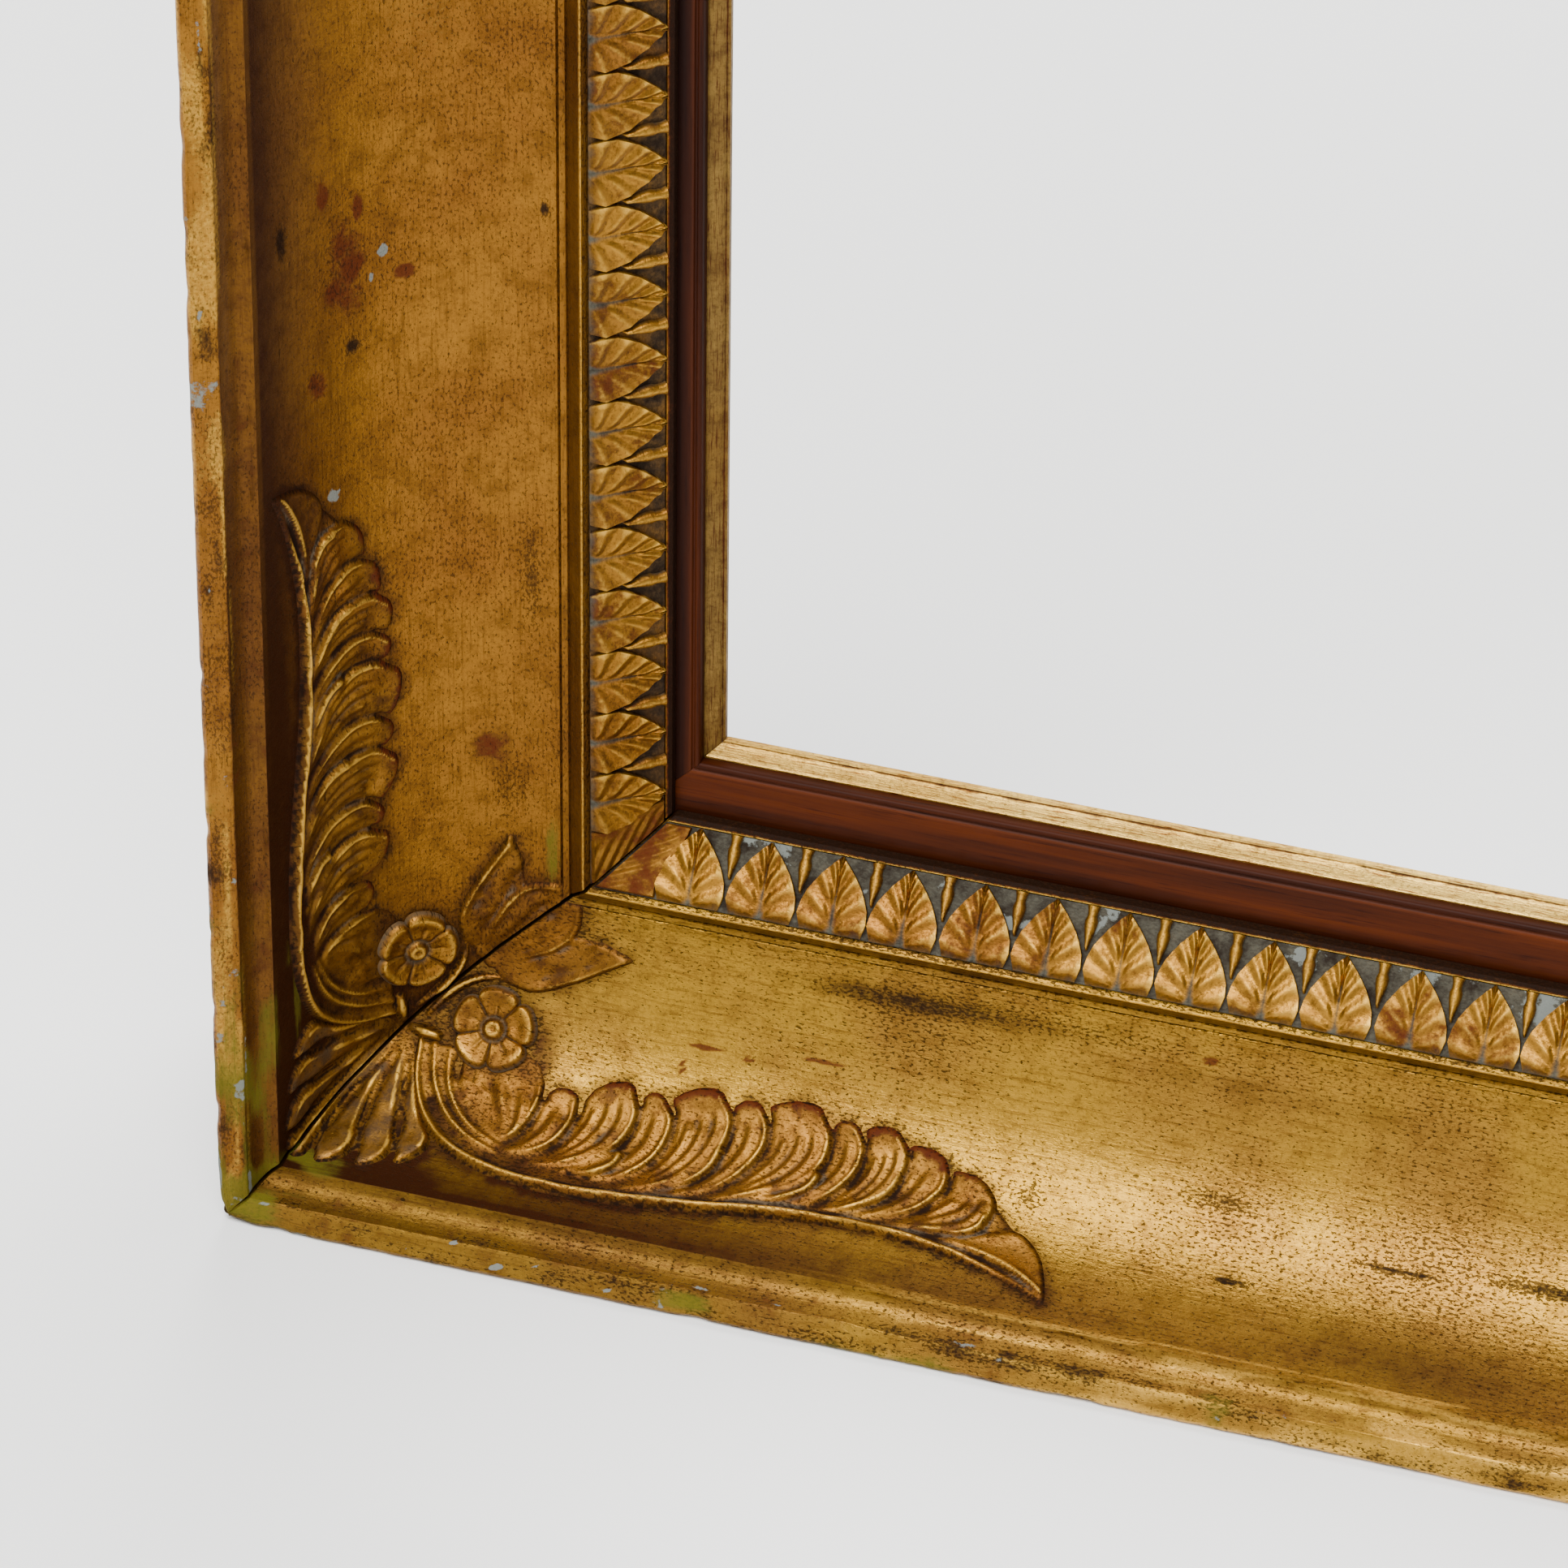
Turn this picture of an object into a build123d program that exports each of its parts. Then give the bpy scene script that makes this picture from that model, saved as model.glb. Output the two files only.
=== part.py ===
from build123d import *

import os
from math import cos, pi, radians, sin, sqrt

# Gilded picture frame with a deep cove, pressed ornament and a mahogany liner.
# It stands upright, its front toward -Y, the middle of its lower edge at the origin.
# Sizes are in millimetres. Widths run from the outer edge inward, heights from the back forward.

# Picture that the liner takes
picture_width = 600.0
picture_height = 730.0
picture_play = 2.0

# Softwood back frame
board_thickness = 20.0
peg_radius = 4.0
peg_offset = 15.0
peg_fit = 0.05

# Gilded moulding, from the outer edge inward
rim_width = 6.4
rim_slope = 2.3
rim_round = 1.5
cavetto_width = 4.0
cavetto_depth = 7.0
rim_fillet_width = 1.1
rim_fillet_drop = 0.3
cove_radius = 50.0
cove_floor = 12.4
groove_width = 0.7
groove_depth = 0.5
groove_spacing = 2.0
fillet_width = 5.9
arris_rise = 2.3
arris_width = 0.6
quirk_width = 1.0
band_width = 14.0
band_drop = 11.2
lip_bead_width = 1.5
lip_bead_rise = 0.4
lip_bead_drop = 0.4
lip_thickness = 2.9
rabbet_width = 13.0
mitre_gap = 0.4

# Leaf-and-dart strip
strip_thickness = 1.2
strip_gap = 0.2
leaf_pitch = 16.5
leaf_margin = 92.0
leaf_width = 14.6
leaf_belly = 13.4
leaf_belly_share = 0.45
leaf_height = 1.6
leaf_inset = 0.4
dart_width = 2.8
dart_length = 6.5

# Corner ornament: lengths from the outer corner along the rail, angles round the cove from its rim
glue_line = 0.1
spray_thickness = 3.0
spray_lobes = 9
spray_lobe_bulge = 2.2
spray_root = 62.0
spray_tip = 191.0
spray_tip_angle = 7.2
spray_crest_angle = 47.0
spray_taper = 3.0
spray_stem = (
    (36.0, 42.0),
    (39.0, 27.0),
    (46.0, 17.0),
    (62.0, 11.2),
    (80.0, 11.0),
    (136.0, 19.4),
    (170.0, 15.5),
)
rosette_distance = 50.0
rosette_angle = 52.0
rosette_petals = 5
petal_radius = 4.9
petal_ring = 5.4
rosette_thickness = 3.2
button_boss_radius = 2.2
button_boss_thickness = 4.8
rosette_gap = 0.4
fan_thickness = 2.6
fan_edge = ((31.5, 50.0), (33.0, 38.0), (36.0, 27.0), (40.0, 18.0), (41.0, 8.0))
fan_corner_distance = 10.0
sprig_thickness = 2.0
sprig_base = (52.0, 66.0)
sprig_tip = (78.0, 77.0)
sprig_bulge = 4.2
mitre_leaf_base = (34.0, 62.0)
mitre_leaf_belly = (55.0, 72.0)
mitre_leaf_tip = (63.0, 87.0)

# Mahogany liner and gilt slip
liner_clearance = 4.5
liner_shift = 3.9
liner_width = 18.0
liner_wall = 11.5
liner_seat_gap = 0.2
liner_back_gap = 0.3
liner_lip = 3.0
liner_groove_width = 0.8
liner_groove_depth = 0.5
liner_groove_inset = 1.2
liner_nose_round = 0.6
slip_showing = 4.4
slip_drop = 1.9
slip_edge = 1.5
slip_gap = 0.1
nail_leg = 6.0
nail_gauge = 0.8
nail_depth = 9.0
nail_inset = 4.6
nail_fit = 0.05
packer_length = 45.0
packer_depth = 12.0
packer_setback = 3.0
packer_spacing = 300.0

# Turn buttons that hold the liner
button_spacing = 320.0
button_inset = 14.0
button_reach = 20.0
button_width = 12.0
button_thickness = 1.6
button_gap = 0.3
button_head_gap = 0.15
button_play = 0.1
screw_radius = 2.0
screw_length = 14.0
screw_fit = 0.05
screw_head_radius = 3.6
screw_head_height = 2.0
screw_head_round = 0.8

# Strap hangers
hanger_drop = 230.0
strap_width = 12.0
strap_length = 42.0
strap_thickness = 1.5
strap_corner = 3.0
strap_screws = (9.0, 31.0)
barrel_radius = 3.0
ring_wire_radius = 1.5
ring_play = 0.1
ring_half_width = 10.5
ring_corner = 3.0
ring_leg = 3.0
ring_split = 0.4
ring_clearance = 0.4

# Sizes that follow from those above
cove_start = rim_width + cavetto_width + rim_fillet_width
cove_end = cove_start + cove_radius
arris_start = cove_end + fillet_width
band_start = arris_start + arris_width + quirk_width
band_end = band_start + band_width
moulding_width = band_end + lip_bead_width
board_width = moulding_width - rabbet_width
floor_height = board_thickness + cove_floor
cove_top = floor_height + cove_radius
cavetto_floor = cove_top + rim_fillet_drop
rim_inner = cavetto_floor + cavetto_depth
frame_depth = rim_inner + rim_slope
lip_height = board_thickness + lip_thickness
band_low = lip_height + lip_bead_drop - lip_bead_rise
band_high = band_low + band_drop
arris_height = floor_height + arris_rise
liner_outer = board_width + liner_clearance
wall_inset = liner_outer + liner_wall
outer_width = picture_width + 2 * (picture_play + wall_inset)
outer_height = picture_height + 2 * (picture_play + wall_inset)
hinge_stand = strap_thickness + ring_wire_radius + ring_clearance
hardware_stand = max(
    hinge_stand + barrel_radius,
    button_gap + button_thickness + button_head_gap + screw_head_height,
)
back_y = (frame_depth - hardware_stand) / 2
cove_centre = (cove_end, cove_top)

front = Vector(0, -1, 0)
back = Vector(0, 1, 0)
up = Vector(0, 0, 1)


def four_sides(width, height, centre_x, centre_z):
    """Origin, inward direction and half length of each side of a rectangle on the back plane."""
    half_width = width / 2
    half_height = height / 2
    return {
        "bottom": (Vector(centre_x, back_y, centre_z - half_height), Vector(0, 0, 1), half_width),
        "right": (Vector(centre_x + half_width, back_y, centre_z), Vector(-1, 0, 0), half_height),
        "top": (Vector(centre_x, back_y, centre_z + half_height), Vector(0, 0, -1), half_width),
        "left": (Vector(centre_x - half_width, back_y, centre_z), Vector(1, 0, 0), half_height),
    }


def section_plane(side):
    """Plane across a side: x inward, y forward, its normal along the side."""
    origin, inward, _ = side
    return Plane(origin, x_dir=inward, z_dir=inward.cross(front))


def level_plane(side, height):
    """Plane along a side, facing forward: x inward, y along the side."""
    origin, inward, _ = side
    return Plane(origin + front * height, x_dir=inward, z_dir=front)


def back_level_plane(side, height):
    """Plane along a side, facing the wall: x inward."""
    origin, inward, _ = side
    return Plane(origin + front * height, x_dir=inward, z_dir=back)


def cut_mitres(side, reach, gap):
    """Trims the open part to the mitres at both ends of its side."""
    half = side[2] - gap / sqrt(2)
    with BuildSketch(level_plane(side, 0)) as trapezoid:
        Polygon((0, -half), (0, half), (reach, half - reach), (reach, reach - half), align=None)
    extrude(trapezoid.sketch, amount=frame_depth, mode=Mode.INTERSECT)


def write(part, name):
    """Labels a finished piece and writes its file."""
    part.label = name
    export_step(part, f"parts/{name}.step")


os.makedirs("parts", exist_ok=True)
frame_sides = four_sides(outer_width, outer_height, 0, outer_height / 2)
liner_sides = four_sides(
    outer_width - 2 * liner_outer,
    outer_height - 2 * liner_outer,
    -liner_shift,
    outer_height / 2 + liner_shift,
)
stile_names = ("left", "right")
ends = (-1, 1)


# Mouldings
def draw_moulding():
    """Section of the gilded moulding, rim to sight lip."""
    cavetto_middle = (
        cove_start - rim_fillet_width - cavetto_width * cos(pi / 4),
        rim_inner - cavetto_depth * sin(pi / 4),
    )
    with BuildLine() as outline:
        outer = Line((0, board_thickness), (0, frame_depth - rim_round))
        edge = CenterArc((rim_round, frame_depth - rim_round), rim_round, 180, -90)
        rim = Line(edge @ 1, (rim_width, rim_inner))
        cavetto = ThreePointArc(
            rim @ 1, cavetto_middle, (cove_start - rim_fillet_width, cavetto_floor)
        )
        Line(cavetto @ 1, (cove_start, cove_top))
        cove = CenterArc(cove_centre, cove_radius, 180, 90)
        Polyline(
            cove @ 1,
            (cove_end + groove_width / 2, floor_height - groove_depth),
            (cove_end + groove_width, floor_height),
            (cove_end + groove_spacing, floor_height),
            (cove_end + groove_spacing + groove_width / 2, floor_height - groove_depth),
            (cove_end + groove_spacing + groove_width, floor_height),
            (arris_start, arris_height),
            (arris_start + arris_width, arris_height),
            (band_start, band_high - strip_thickness),
            (band_end, band_low - strip_thickness),
            (band_end, lip_height + lip_bead_drop),
            (moulding_width, lip_height),
            (moulding_width, board_thickness),
            outer @ 0,
        )
    make_face(outline.edges())


for name, side in frame_sides.items():
    with BuildPart() as moulding:
        with BuildSketch(section_plane(side)):
            draw_moulding()
        extrude(amount=side[2], both=True)
        cut_mitres(side, moulding_width, mitre_gap)
    write(moulding.part, f"moulding_{name}")


# Back boards: the rails keep the back half of each lap, the stiles the front half
def lap_points(side):
    """Middles of the two corner laps, on the plane of a side."""
    middle = side[2] - board_width / 2
    return [(board_width / 2, middle), (board_width / 2, -middle)]


def peg_points(side):
    """Places of the pegs, two on the diagonal of each lap."""
    points = []
    for end in ends:
        for offset in (-peg_offset, peg_offset):
            inward = board_width / 2 + offset
            points.append((inward, end * (side[2] - inward)))
    return points


def button_points():
    """Pivots of the turn buttons on a stile."""
    inward = board_width - button_inset
    return [(inward, end * button_spacing / 2) for end in ends]


def hanger_point(name):
    """Middle of a hanger's barrel on the back plane."""
    origin, inward, half = frame_sides[name]
    return origin + inward * (board_width / 2) + up * (half - hanger_drop)


for name, side in frame_sides.items():
    is_stile = name in stile_names
    with BuildPart() as board:
        with BuildSketch(level_plane(side, 0)):
            with Locations((board_width / 2, 0)):
                Rectangle(board_width, 2 * side[2])
        extrude(amount=board_thickness)
        with BuildSketch(level_plane(side, 0 if is_stile else board_thickness / 2)):
            with Locations(lap_points(side)):
                Rectangle(board_width, board_width)
        extrude(amount=board_thickness / 2, mode=Mode.SUBTRACT)
        with BuildSketch(level_plane(side, 0)):
            with Locations(peg_points(side)):
                Circle(peg_radius + peg_fit)
        extrude(amount=board_thickness, mode=Mode.SUBTRACT)
        if is_stile:
            with BuildSketch(level_plane(side, 0)):
                with Locations(button_points()):
                    Circle(screw_radius + screw_fit)
            extrude(amount=screw_length, mode=Mode.SUBTRACT)
            with BuildSketch(Plane(hanger_point(name), x_dir=up, z_dir=front)):
                with Locations([(height, 0) for height in strap_screws]):
                    Circle(screw_radius + screw_fit)
            extrude(amount=screw_length, mode=Mode.SUBTRACT)
    write(board.part, f"back_board_{name}")

with BuildPart() as pegs:
    for name in ("bottom", "top"):
        with BuildSketch(level_plane(frame_sides[name], 0)):
            with Locations(peg_points(frame_sides[name])):
                Circle(peg_radius)
        extrude(amount=board_thickness)
write(pegs.part, "lap_pegs")


# Leaf strips
def leaf_middles(half):
    """Places of the leaves along a side, from its middle."""
    spaces = round(2 * (half - leaf_margin) / leaf_pitch)
    pitch = 2 * (half - leaf_margin) / spaces
    return [leaf_margin - half + number * pitch for number in range(spaces + 1)]


def strip_plane(side):
    """Top of the strip's ground: x along the side, y from the arris down to the lip."""
    origin, inward, _ = side
    slope = Vector(band_width, -band_drop).normalized()
    normal = inward * -slope.Y + front * slope.X
    start = origin + inward * band_start + front * band_high
    return Plane(start, x_dir=inward.cross(front), z_dir=normal)


def draw_leaf(base, tip):
    """Broad pointed leaf with its tip toward the sight."""
    belly = base + (tip - base) * leaf_belly_share
    with BuildLine() as outline:
        right = ThreePointArc((leaf_width / 2, base), (leaf_belly / 2, belly), (0, tip))
        left = ThreePointArc(right @ 1, (-leaf_belly / 2, belly), (-leaf_width / 2, base))
        Line(left @ 1, right @ 0)
    make_face(outline.edges())


def draw_dart(base, tip):
    """Slim dart between two leaf tips."""
    middle = (base + tip) / 2
    with BuildLine() as outline:
        right = ThreePointArc((0, base), (dart_width / 2, middle), (0, tip))
        ThreePointArc(right @ 1, (-dart_width / 2, middle), right @ 0)
    make_face(outline.edges())


slope_length = Vector(band_width, band_drop).length
leaf_tip = slope_length - leaf_inset
with BuildSketch() as leaf:
    draw_leaf(leaf_inset, leaf_tip)
with BuildSketch() as dart:
    draw_dart(leaf_tip - dart_length, leaf_tip)
edge_drop = strip_gap * band_drop / band_width
for name, side in frame_sides.items():
    middles = leaf_middles(side[2])
    gaps = [(here + there) / 2 for here, there in zip(middles, middles[1:])]
    with BuildPart() as strip:
        with BuildSketch(section_plane(side)):
            with BuildLine():
                Polyline(
                    (band_start + strip_gap, band_high - strip_thickness - edge_drop),
                    (band_end - strip_gap, band_low - strip_thickness + edge_drop),
                    (band_end - strip_gap, band_low + edge_drop),
                    (band_start + strip_gap, band_high - edge_drop),
                    close=True,
                )
            make_face()
        extrude(amount=side[2], both=True)
        with BuildSketch(strip_plane(side)):
            with Locations([(place, 0) for place in middles]):
                add(leaf.sketch)
            with Locations([(place, 0) for place in gaps]):
                add(dart.sketch)
        extrude(amount=leaf_height)
        cut_mitres(side, moulding_width, mitre_gap)
    write(strip.part, f"leaf_strip_{name}")


# Corner ornament, laid on the cove
def chord(angle):
    """Height on the ornament plane of a place at this angle round the cove."""
    return cove_radius * sin(radians(angle - 45))


def ornament_plane(side, end):
    """Plane of the cove's chord at one end of a side: x from the corner along the rail."""
    origin, inward, half = side
    along = inward.cross(front)
    normal = (inward + front).normalized()
    middle = inward * (cove_end - cove_radius * cos(pi / 4))
    middle += front * (cove_top - cove_radius * sin(pi / 4))
    return Plane(origin + along * (end * half) + middle, x_dir=along * -end, z_dir=normal)


def relief(side, end, thickness, draw):
    """Layer of the given thickness on the cove, cut to a drawn outline and to the mitre."""
    with BuildPart() as piece:
        with BuildSketch(section_plane(side)):
            with BuildLine():
                under = CenterArc(cove_centre, cove_radius - glue_line, 180, 90)
                over = CenterArc(cove_centre, cove_radius - glue_line - thickness, 180, 90)
                Line(under @ 0, over @ 0)
                Line(under @ 1, over @ 1)
            make_face()
        extrude(amount=side[2], both=True)
        with BuildSketch(ornament_plane(side, end)):
            draw(-end)
        extrude(amount=cove_radius, both=True, mode=Mode.INTERSECT)
        cut_mitres(side, moulding_width, mitre_gap)
    return piece.part


def placed(points, hand):
    """Points given as length and angle, as places on the ornament plane."""
    return [(distance, hand * chord(angle)) for distance, angle in points]


def draw_spray(hand):
    """Acanthus spray: a stem that curls round the rosette, and scalloped lobes on its inner side."""
    stem = placed(spray_stem + ((spray_tip, spray_tip_angle),), hand)
    crest = []
    for number in range(spray_lobes + 1):
        share = number / spray_lobes
        rise = (spray_crest_angle - spray_tip_angle) * cos(pi / 2 * share**spray_taper)
        distance = spray_root + (spray_tip - spray_root) * share
        crest += placed([(distance, spray_tip_angle + rise)], hand)
    with BuildLine() as outline:
        Spline(*stem)
        for here, there in zip(crest, crest[1:]):
            bulge = ((here[0] + there[0]) / 2, (here[1] + there[1]) / 2 + hand * spray_lobe_bulge)
            ThreePointArc(here, bulge, there)
        Line(crest[0], stem[0])
    make_face(outline.edges())
    with Locations(placed([(rosette_distance, rosette_angle)], hand)):
        Circle(petal_ring + petal_radius + rosette_gap, mode=Mode.SUBTRACT)


def draw_petals(hand):
    """Rosette of round petals."""
    with Locations(placed([(rosette_distance, rosette_angle)], hand)):
        Circle(petal_ring)
        with PolarLocations(petal_ring, rosette_petals):
            Circle(petal_radius)


def draw_boss(hand):
    """Round boss at the middle of a rosette."""
    with Locations(placed([(rosette_distance, rosette_angle)], hand)):
        Circle(button_boss_radius)


def draw_fan(hand):
    """Half of the ribbed corner fan, from its root out to the rim."""
    edge = placed(fan_edge, hand)
    corner = (fan_corner_distance, edge[-1][1])
    with BuildLine() as outline:
        Spline(*edge)
        Polyline(edge[-1], corner, (fan_corner_distance, edge[0][1]), edge[0])
    make_face(outline.edges())


def draw_sprig(hand):
    """Small leaf beyond the rosette, and half of the leaf that lies along the mitre."""
    base, tip = placed((sprig_base, sprig_tip), hand)
    middle = (Vector(*base) + Vector(*tip)) / 2
    across = (Vector(*tip) - Vector(*base)).normalized().rotate(Axis.Z, 90) * sprig_bulge
    with BuildLine() as outline:
        ThreePointArc(base, middle + across, tip)
        ThreePointArc(tip, middle - across, base)
    make_face(outline.edges())
    low, belly, high = placed((mitre_leaf_base, mitre_leaf_belly, mitre_leaf_tip), hand)
    with BuildLine() as outline:
        ThreePointArc(low, belly, high)
        Polyline(high, (low[0], high[1]), low)
    make_face(outline.edges())


corners = {
    "bottom_left": (("bottom", -1), ("left", 1)),
    "bottom_right": (("right", -1), ("bottom", 1)),
    "top_right": (("top", -1), ("right", 1)),
    "top_left": (("left", -1), ("top", 1)),
}
for corner, halves in corners.items():
    for name, end in halves:
        write(relief(frame_sides[name], end, spray_thickness, draw_spray), f"spray_{corner}_{name}")
    fans = [relief(frame_sides[name], end, fan_thickness, draw_fan) for name, end in halves]
    sprigs = [relief(frame_sides[name], end, sprig_thickness, draw_sprig) for name, end in halves]
    petals = [relief(frame_sides[name], end, rosette_thickness, draw_petals) for name, end in halves]
    bosses = [relief(frame_sides[name], end, button_boss_thickness, draw_boss) for name, end in halves]
    with BuildPart() as fan:
        add(fans)
    write(fan.part, f"corner_fan_{corner}")
    with BuildPart() as sprig:
        add(sprigs)
    write(sprig.part, f"leaf_sprigs_{corner}")
    with BuildPart() as rosettes:
        add(petals)
        add(bosses)
    write(rosettes.part, f"rosettes_{corner}")


# Liner
liner_front = board_thickness - liner_seat_gap
slip_top = liner_front - liner_lip
slip_back = slip_top - slip_drop - slip_edge


def draw_liner():
    """Section of a mahogany bar: a wall and a thin lip over the gilt slip."""
    groove = liner_width - liner_groove_inset
    with BuildLine() as outline:
        Polyline(
            (0, liner_back_gap),
            (0, liner_front),
            (groove - liner_groove_width, liner_front),
            (groove - liner_groove_width / 2, liner_front - liner_groove_depth),
            (groove, liner_front),
            (liner_width - liner_nose_round, liner_front),
        )
        nose = CenterArc(
            (liner_width - liner_nose_round, liner_front - liner_nose_round), liner_nose_round, 90, -90
        )
        Polyline(
            nose @ 1,
            (liner_width, slip_top),
            (liner_wall, slip_top),
            (liner_wall, liner_back_gap),
            (0, liner_back_gap),
        )
    make_face(outline.edges())


def draw_slip():
    """Section of a gilt slip, sloping to the sight edge."""
    with BuildLine() as outline:
        Polyline(
            (liner_wall + slip_gap, slip_back),
            (liner_wall + slip_gap, slip_top),
            (liner_width, slip_top),
            (liner_width + slip_showing, slip_top - slip_drop),
            (liner_width + slip_showing, slip_back),
            close=True,
        )
    make_face(outline.edges())


def draw_nails(side, growth):
    """Angled nails across the mitres at both ends of a bar."""
    gauge = nail_gauge + 2 * growth
    leg = nail_leg + 2 * growth
    start = nail_inset - growth
    for end in ends:
        corner = side[2]
        with Locations((start + leg / 2, end * (corner - start - gauge / 2))):
            Rectangle(leg, gauge)
        with Locations((start + gauge / 2, end * (corner - start - leg / 2))):
            Rectangle(gauge, leg)


for name, side in liner_sides.items():
    with BuildPart() as liner:
        with BuildSketch(section_plane(side)):
            draw_liner()
        extrude(amount=side[2], both=True)
        with BuildSketch(level_plane(side, liner_back_gap)):
            draw_nails(side, nail_fit)
        extrude(amount=nail_depth + nail_fit, mode=Mode.SUBTRACT)
        cut_mitres(side, liner_width, 0)
    write(liner.part, f"liner_{name}")
    with BuildPart() as slip:
        with BuildSketch(section_plane(side)):
            draw_slip()
        extrude(amount=side[2], both=True)
        cut_mitres(side, liner_width + slip_showing, 0)
    write(slip.part, f"gilt_slip_{name}")

with BuildPart() as nails:
    for name in ("bottom", "top"):
        with BuildSketch(level_plane(liner_sides[name], liner_back_gap)):
            draw_nails(liner_sides[name], 0)
        extrude(amount=nail_depth)
write(nails.part, "liner_nails")

# Cork packers fill the wide side of the rabbet, below and to the right of the liner
packer_width = liner_clearance + liner_shift
with BuildPart() as packers:
    for name in ("bottom", "right"):
        with BuildSketch(level_plane(frame_sides[name], packer_setback)):
            with Locations([(board_width + packer_width / 2, end * packer_spacing / 2) for end in ends]):
                Rectangle(packer_width, packer_length)
        extrude(amount=packer_depth)
write(packers.part, "cork_packers")

# Turn buttons and their screws
button_back = button_gap + button_thickness
head_start = button_back + button_head_gap
button_places = {"left": ("upper_left", "lower_left"), "right": ("lower_right", "upper_right")}
for name, places in button_places.items():
    for place, (inward, along) in zip(places, button_points()):
        side = frame_sides[name]
        with BuildPart() as button:
            with BuildSketch(back_level_plane(side, -button_gap)):
                with Locations((inward + button_reach / 2, along)):
                    SlotCenterToCenter(button_reach, button_width)
                with Locations((inward, along)):
                    Circle(screw_radius + button_play, mode=Mode.SUBTRACT)
            extrude(amount=button_thickness)
        write(button.part, f"turn_button_{place}")


def add_screws(plane, points, seat):
    """Pan-head screws on a back plane, their heads on a seat at this height."""
    with BuildSketch(plane.offset(-screw_length)) as shanks:
        with Locations(points):
            Circle(screw_radius)
    extrude(shanks.sketch, amount=screw_length + seat)
    with BuildSketch(plane.offset(seat)) as tops:
        with Locations(points):
            Circle(screw_head_radius)
    heads = extrude(tops.sketch, amount=screw_head_height)
    rims = heads.faces().filter_by(Axis.Y).sort_by(Axis.Y)[-len(points) :].edges()
    fillet(rims, screw_head_round)


with BuildPart() as button_screws:
    for name in stile_names:
        add_screws(back_level_plane(frame_sides[name], 0), button_points(), head_start)
write(button_screws.part, "button_screws")

# Strap hangers, their rings and screws
for name in stile_names:
    point = hanger_point(name)
    flat = Plane(point, x_dir=up, z_dir=back)
    axis_point = point + back * hinge_stand
    with BuildPart() as strap:
        with BuildSketch(flat):
            with Locations((strap_length / 2, 0)):
                RectangleRounded(strap_length, strap_width, strap_corner)
        extrude(amount=strap_thickness)
        with BuildSketch(Plane(axis_point, x_dir=up, z_dir=Vector(1, 0, 0))):
            Circle(barrel_radius)
            with Locations((barrel_radius / 2, (hinge_stand - strap_thickness / 2) / 2)):
                Rectangle(barrel_radius, hinge_stand - strap_thickness / 2)
        extrude(amount=strap_width / 2, both=True)
        with BuildSketch(Plane(axis_point, x_dir=up, z_dir=Vector(1, 0, 0))):
            Circle(ring_wire_radius + ring_play)
        extrude(amount=strap_width, both=True, mode=Mode.SUBTRACT)
        with BuildSketch(flat):
            with Locations([(height, 0) for height in strap_screws]):
                Circle(screw_radius + screw_fit)
        extrude(amount=strap_thickness, mode=Mode.SUBTRACT)
    write(strap.part, f"strap_hanger_{name}")

    bar_end = ring_half_width - ring_corner
    low = -ring_corner - ring_leg
    with BuildPart() as ring:
        with BuildLine(Plane(axis_point, x_dir=Vector(1, 0, 0), z_dir=front)) as loop:
            Line((-ring_split / 2, 0), (-bar_end, 0))
            CenterArc((-bar_end, -ring_corner), ring_corner, 90, 90)
            Line((-ring_half_width, -ring_corner), (-ring_half_width, low))
            CenterArc((0, low), ring_half_width, 180, 180)
            Line((ring_half_width, low), (ring_half_width, -ring_corner))
            CenterArc((bar_end, -ring_corner), ring_corner, 0, 90)
            Line((bar_end, 0), (ring_split / 2, 0))
        with BuildSketch(Plane(loop.line @ 0, z_dir=loop.line % 0)):
            Circle(ring_wire_radius)
        sweep(path=loop.line)
    write(ring.part, f"hanging_ring_{name}")

with BuildPart() as hanger_screws:
    for name in stile_names:
        add_screws(
            Plane(hanger_point(name), x_dir=up, z_dir=back),
            [(height, 0) for height in strap_screws],
            strap_thickness,
        )
write(hanger_screws.part, "hanger_screws")
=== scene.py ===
import logging
import math
from dataclasses import dataclass, field
from enum import Enum
from typing import Callable, Iterable, Sequence

import bmesh
import bpy
import numpy as np
from mathutils import Matrix, Vector


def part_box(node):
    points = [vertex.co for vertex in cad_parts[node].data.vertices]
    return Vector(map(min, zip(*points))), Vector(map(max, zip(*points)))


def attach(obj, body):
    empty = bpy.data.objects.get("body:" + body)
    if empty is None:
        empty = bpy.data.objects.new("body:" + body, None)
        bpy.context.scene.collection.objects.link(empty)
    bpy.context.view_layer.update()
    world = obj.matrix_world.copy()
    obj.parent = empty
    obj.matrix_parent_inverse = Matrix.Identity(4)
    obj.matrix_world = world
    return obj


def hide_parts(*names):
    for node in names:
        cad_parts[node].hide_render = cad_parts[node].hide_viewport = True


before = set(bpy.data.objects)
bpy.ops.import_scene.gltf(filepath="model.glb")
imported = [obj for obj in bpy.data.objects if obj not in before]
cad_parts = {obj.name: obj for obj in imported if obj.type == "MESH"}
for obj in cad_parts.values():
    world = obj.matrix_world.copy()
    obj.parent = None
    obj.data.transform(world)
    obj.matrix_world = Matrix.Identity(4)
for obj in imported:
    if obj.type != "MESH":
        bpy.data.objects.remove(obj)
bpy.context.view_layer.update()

MM = 0.001
LOG = logging.getLogger("picture_frame")
FRONT = np.array([0.0, -1.0, 0.0])
Array = np.ndarray
Material = bpy.types.Material
Socket = bpy.types.NodeSocket
Key = int | str
Points = Sequence[tuple[float, float]]
Values = Array | float
# Pairs of ribs that each pressed leaf has.
LEAF_RIBS = 5
# Vertices closer together than this, in metres, are one.
WELD = 1e-6


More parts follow.
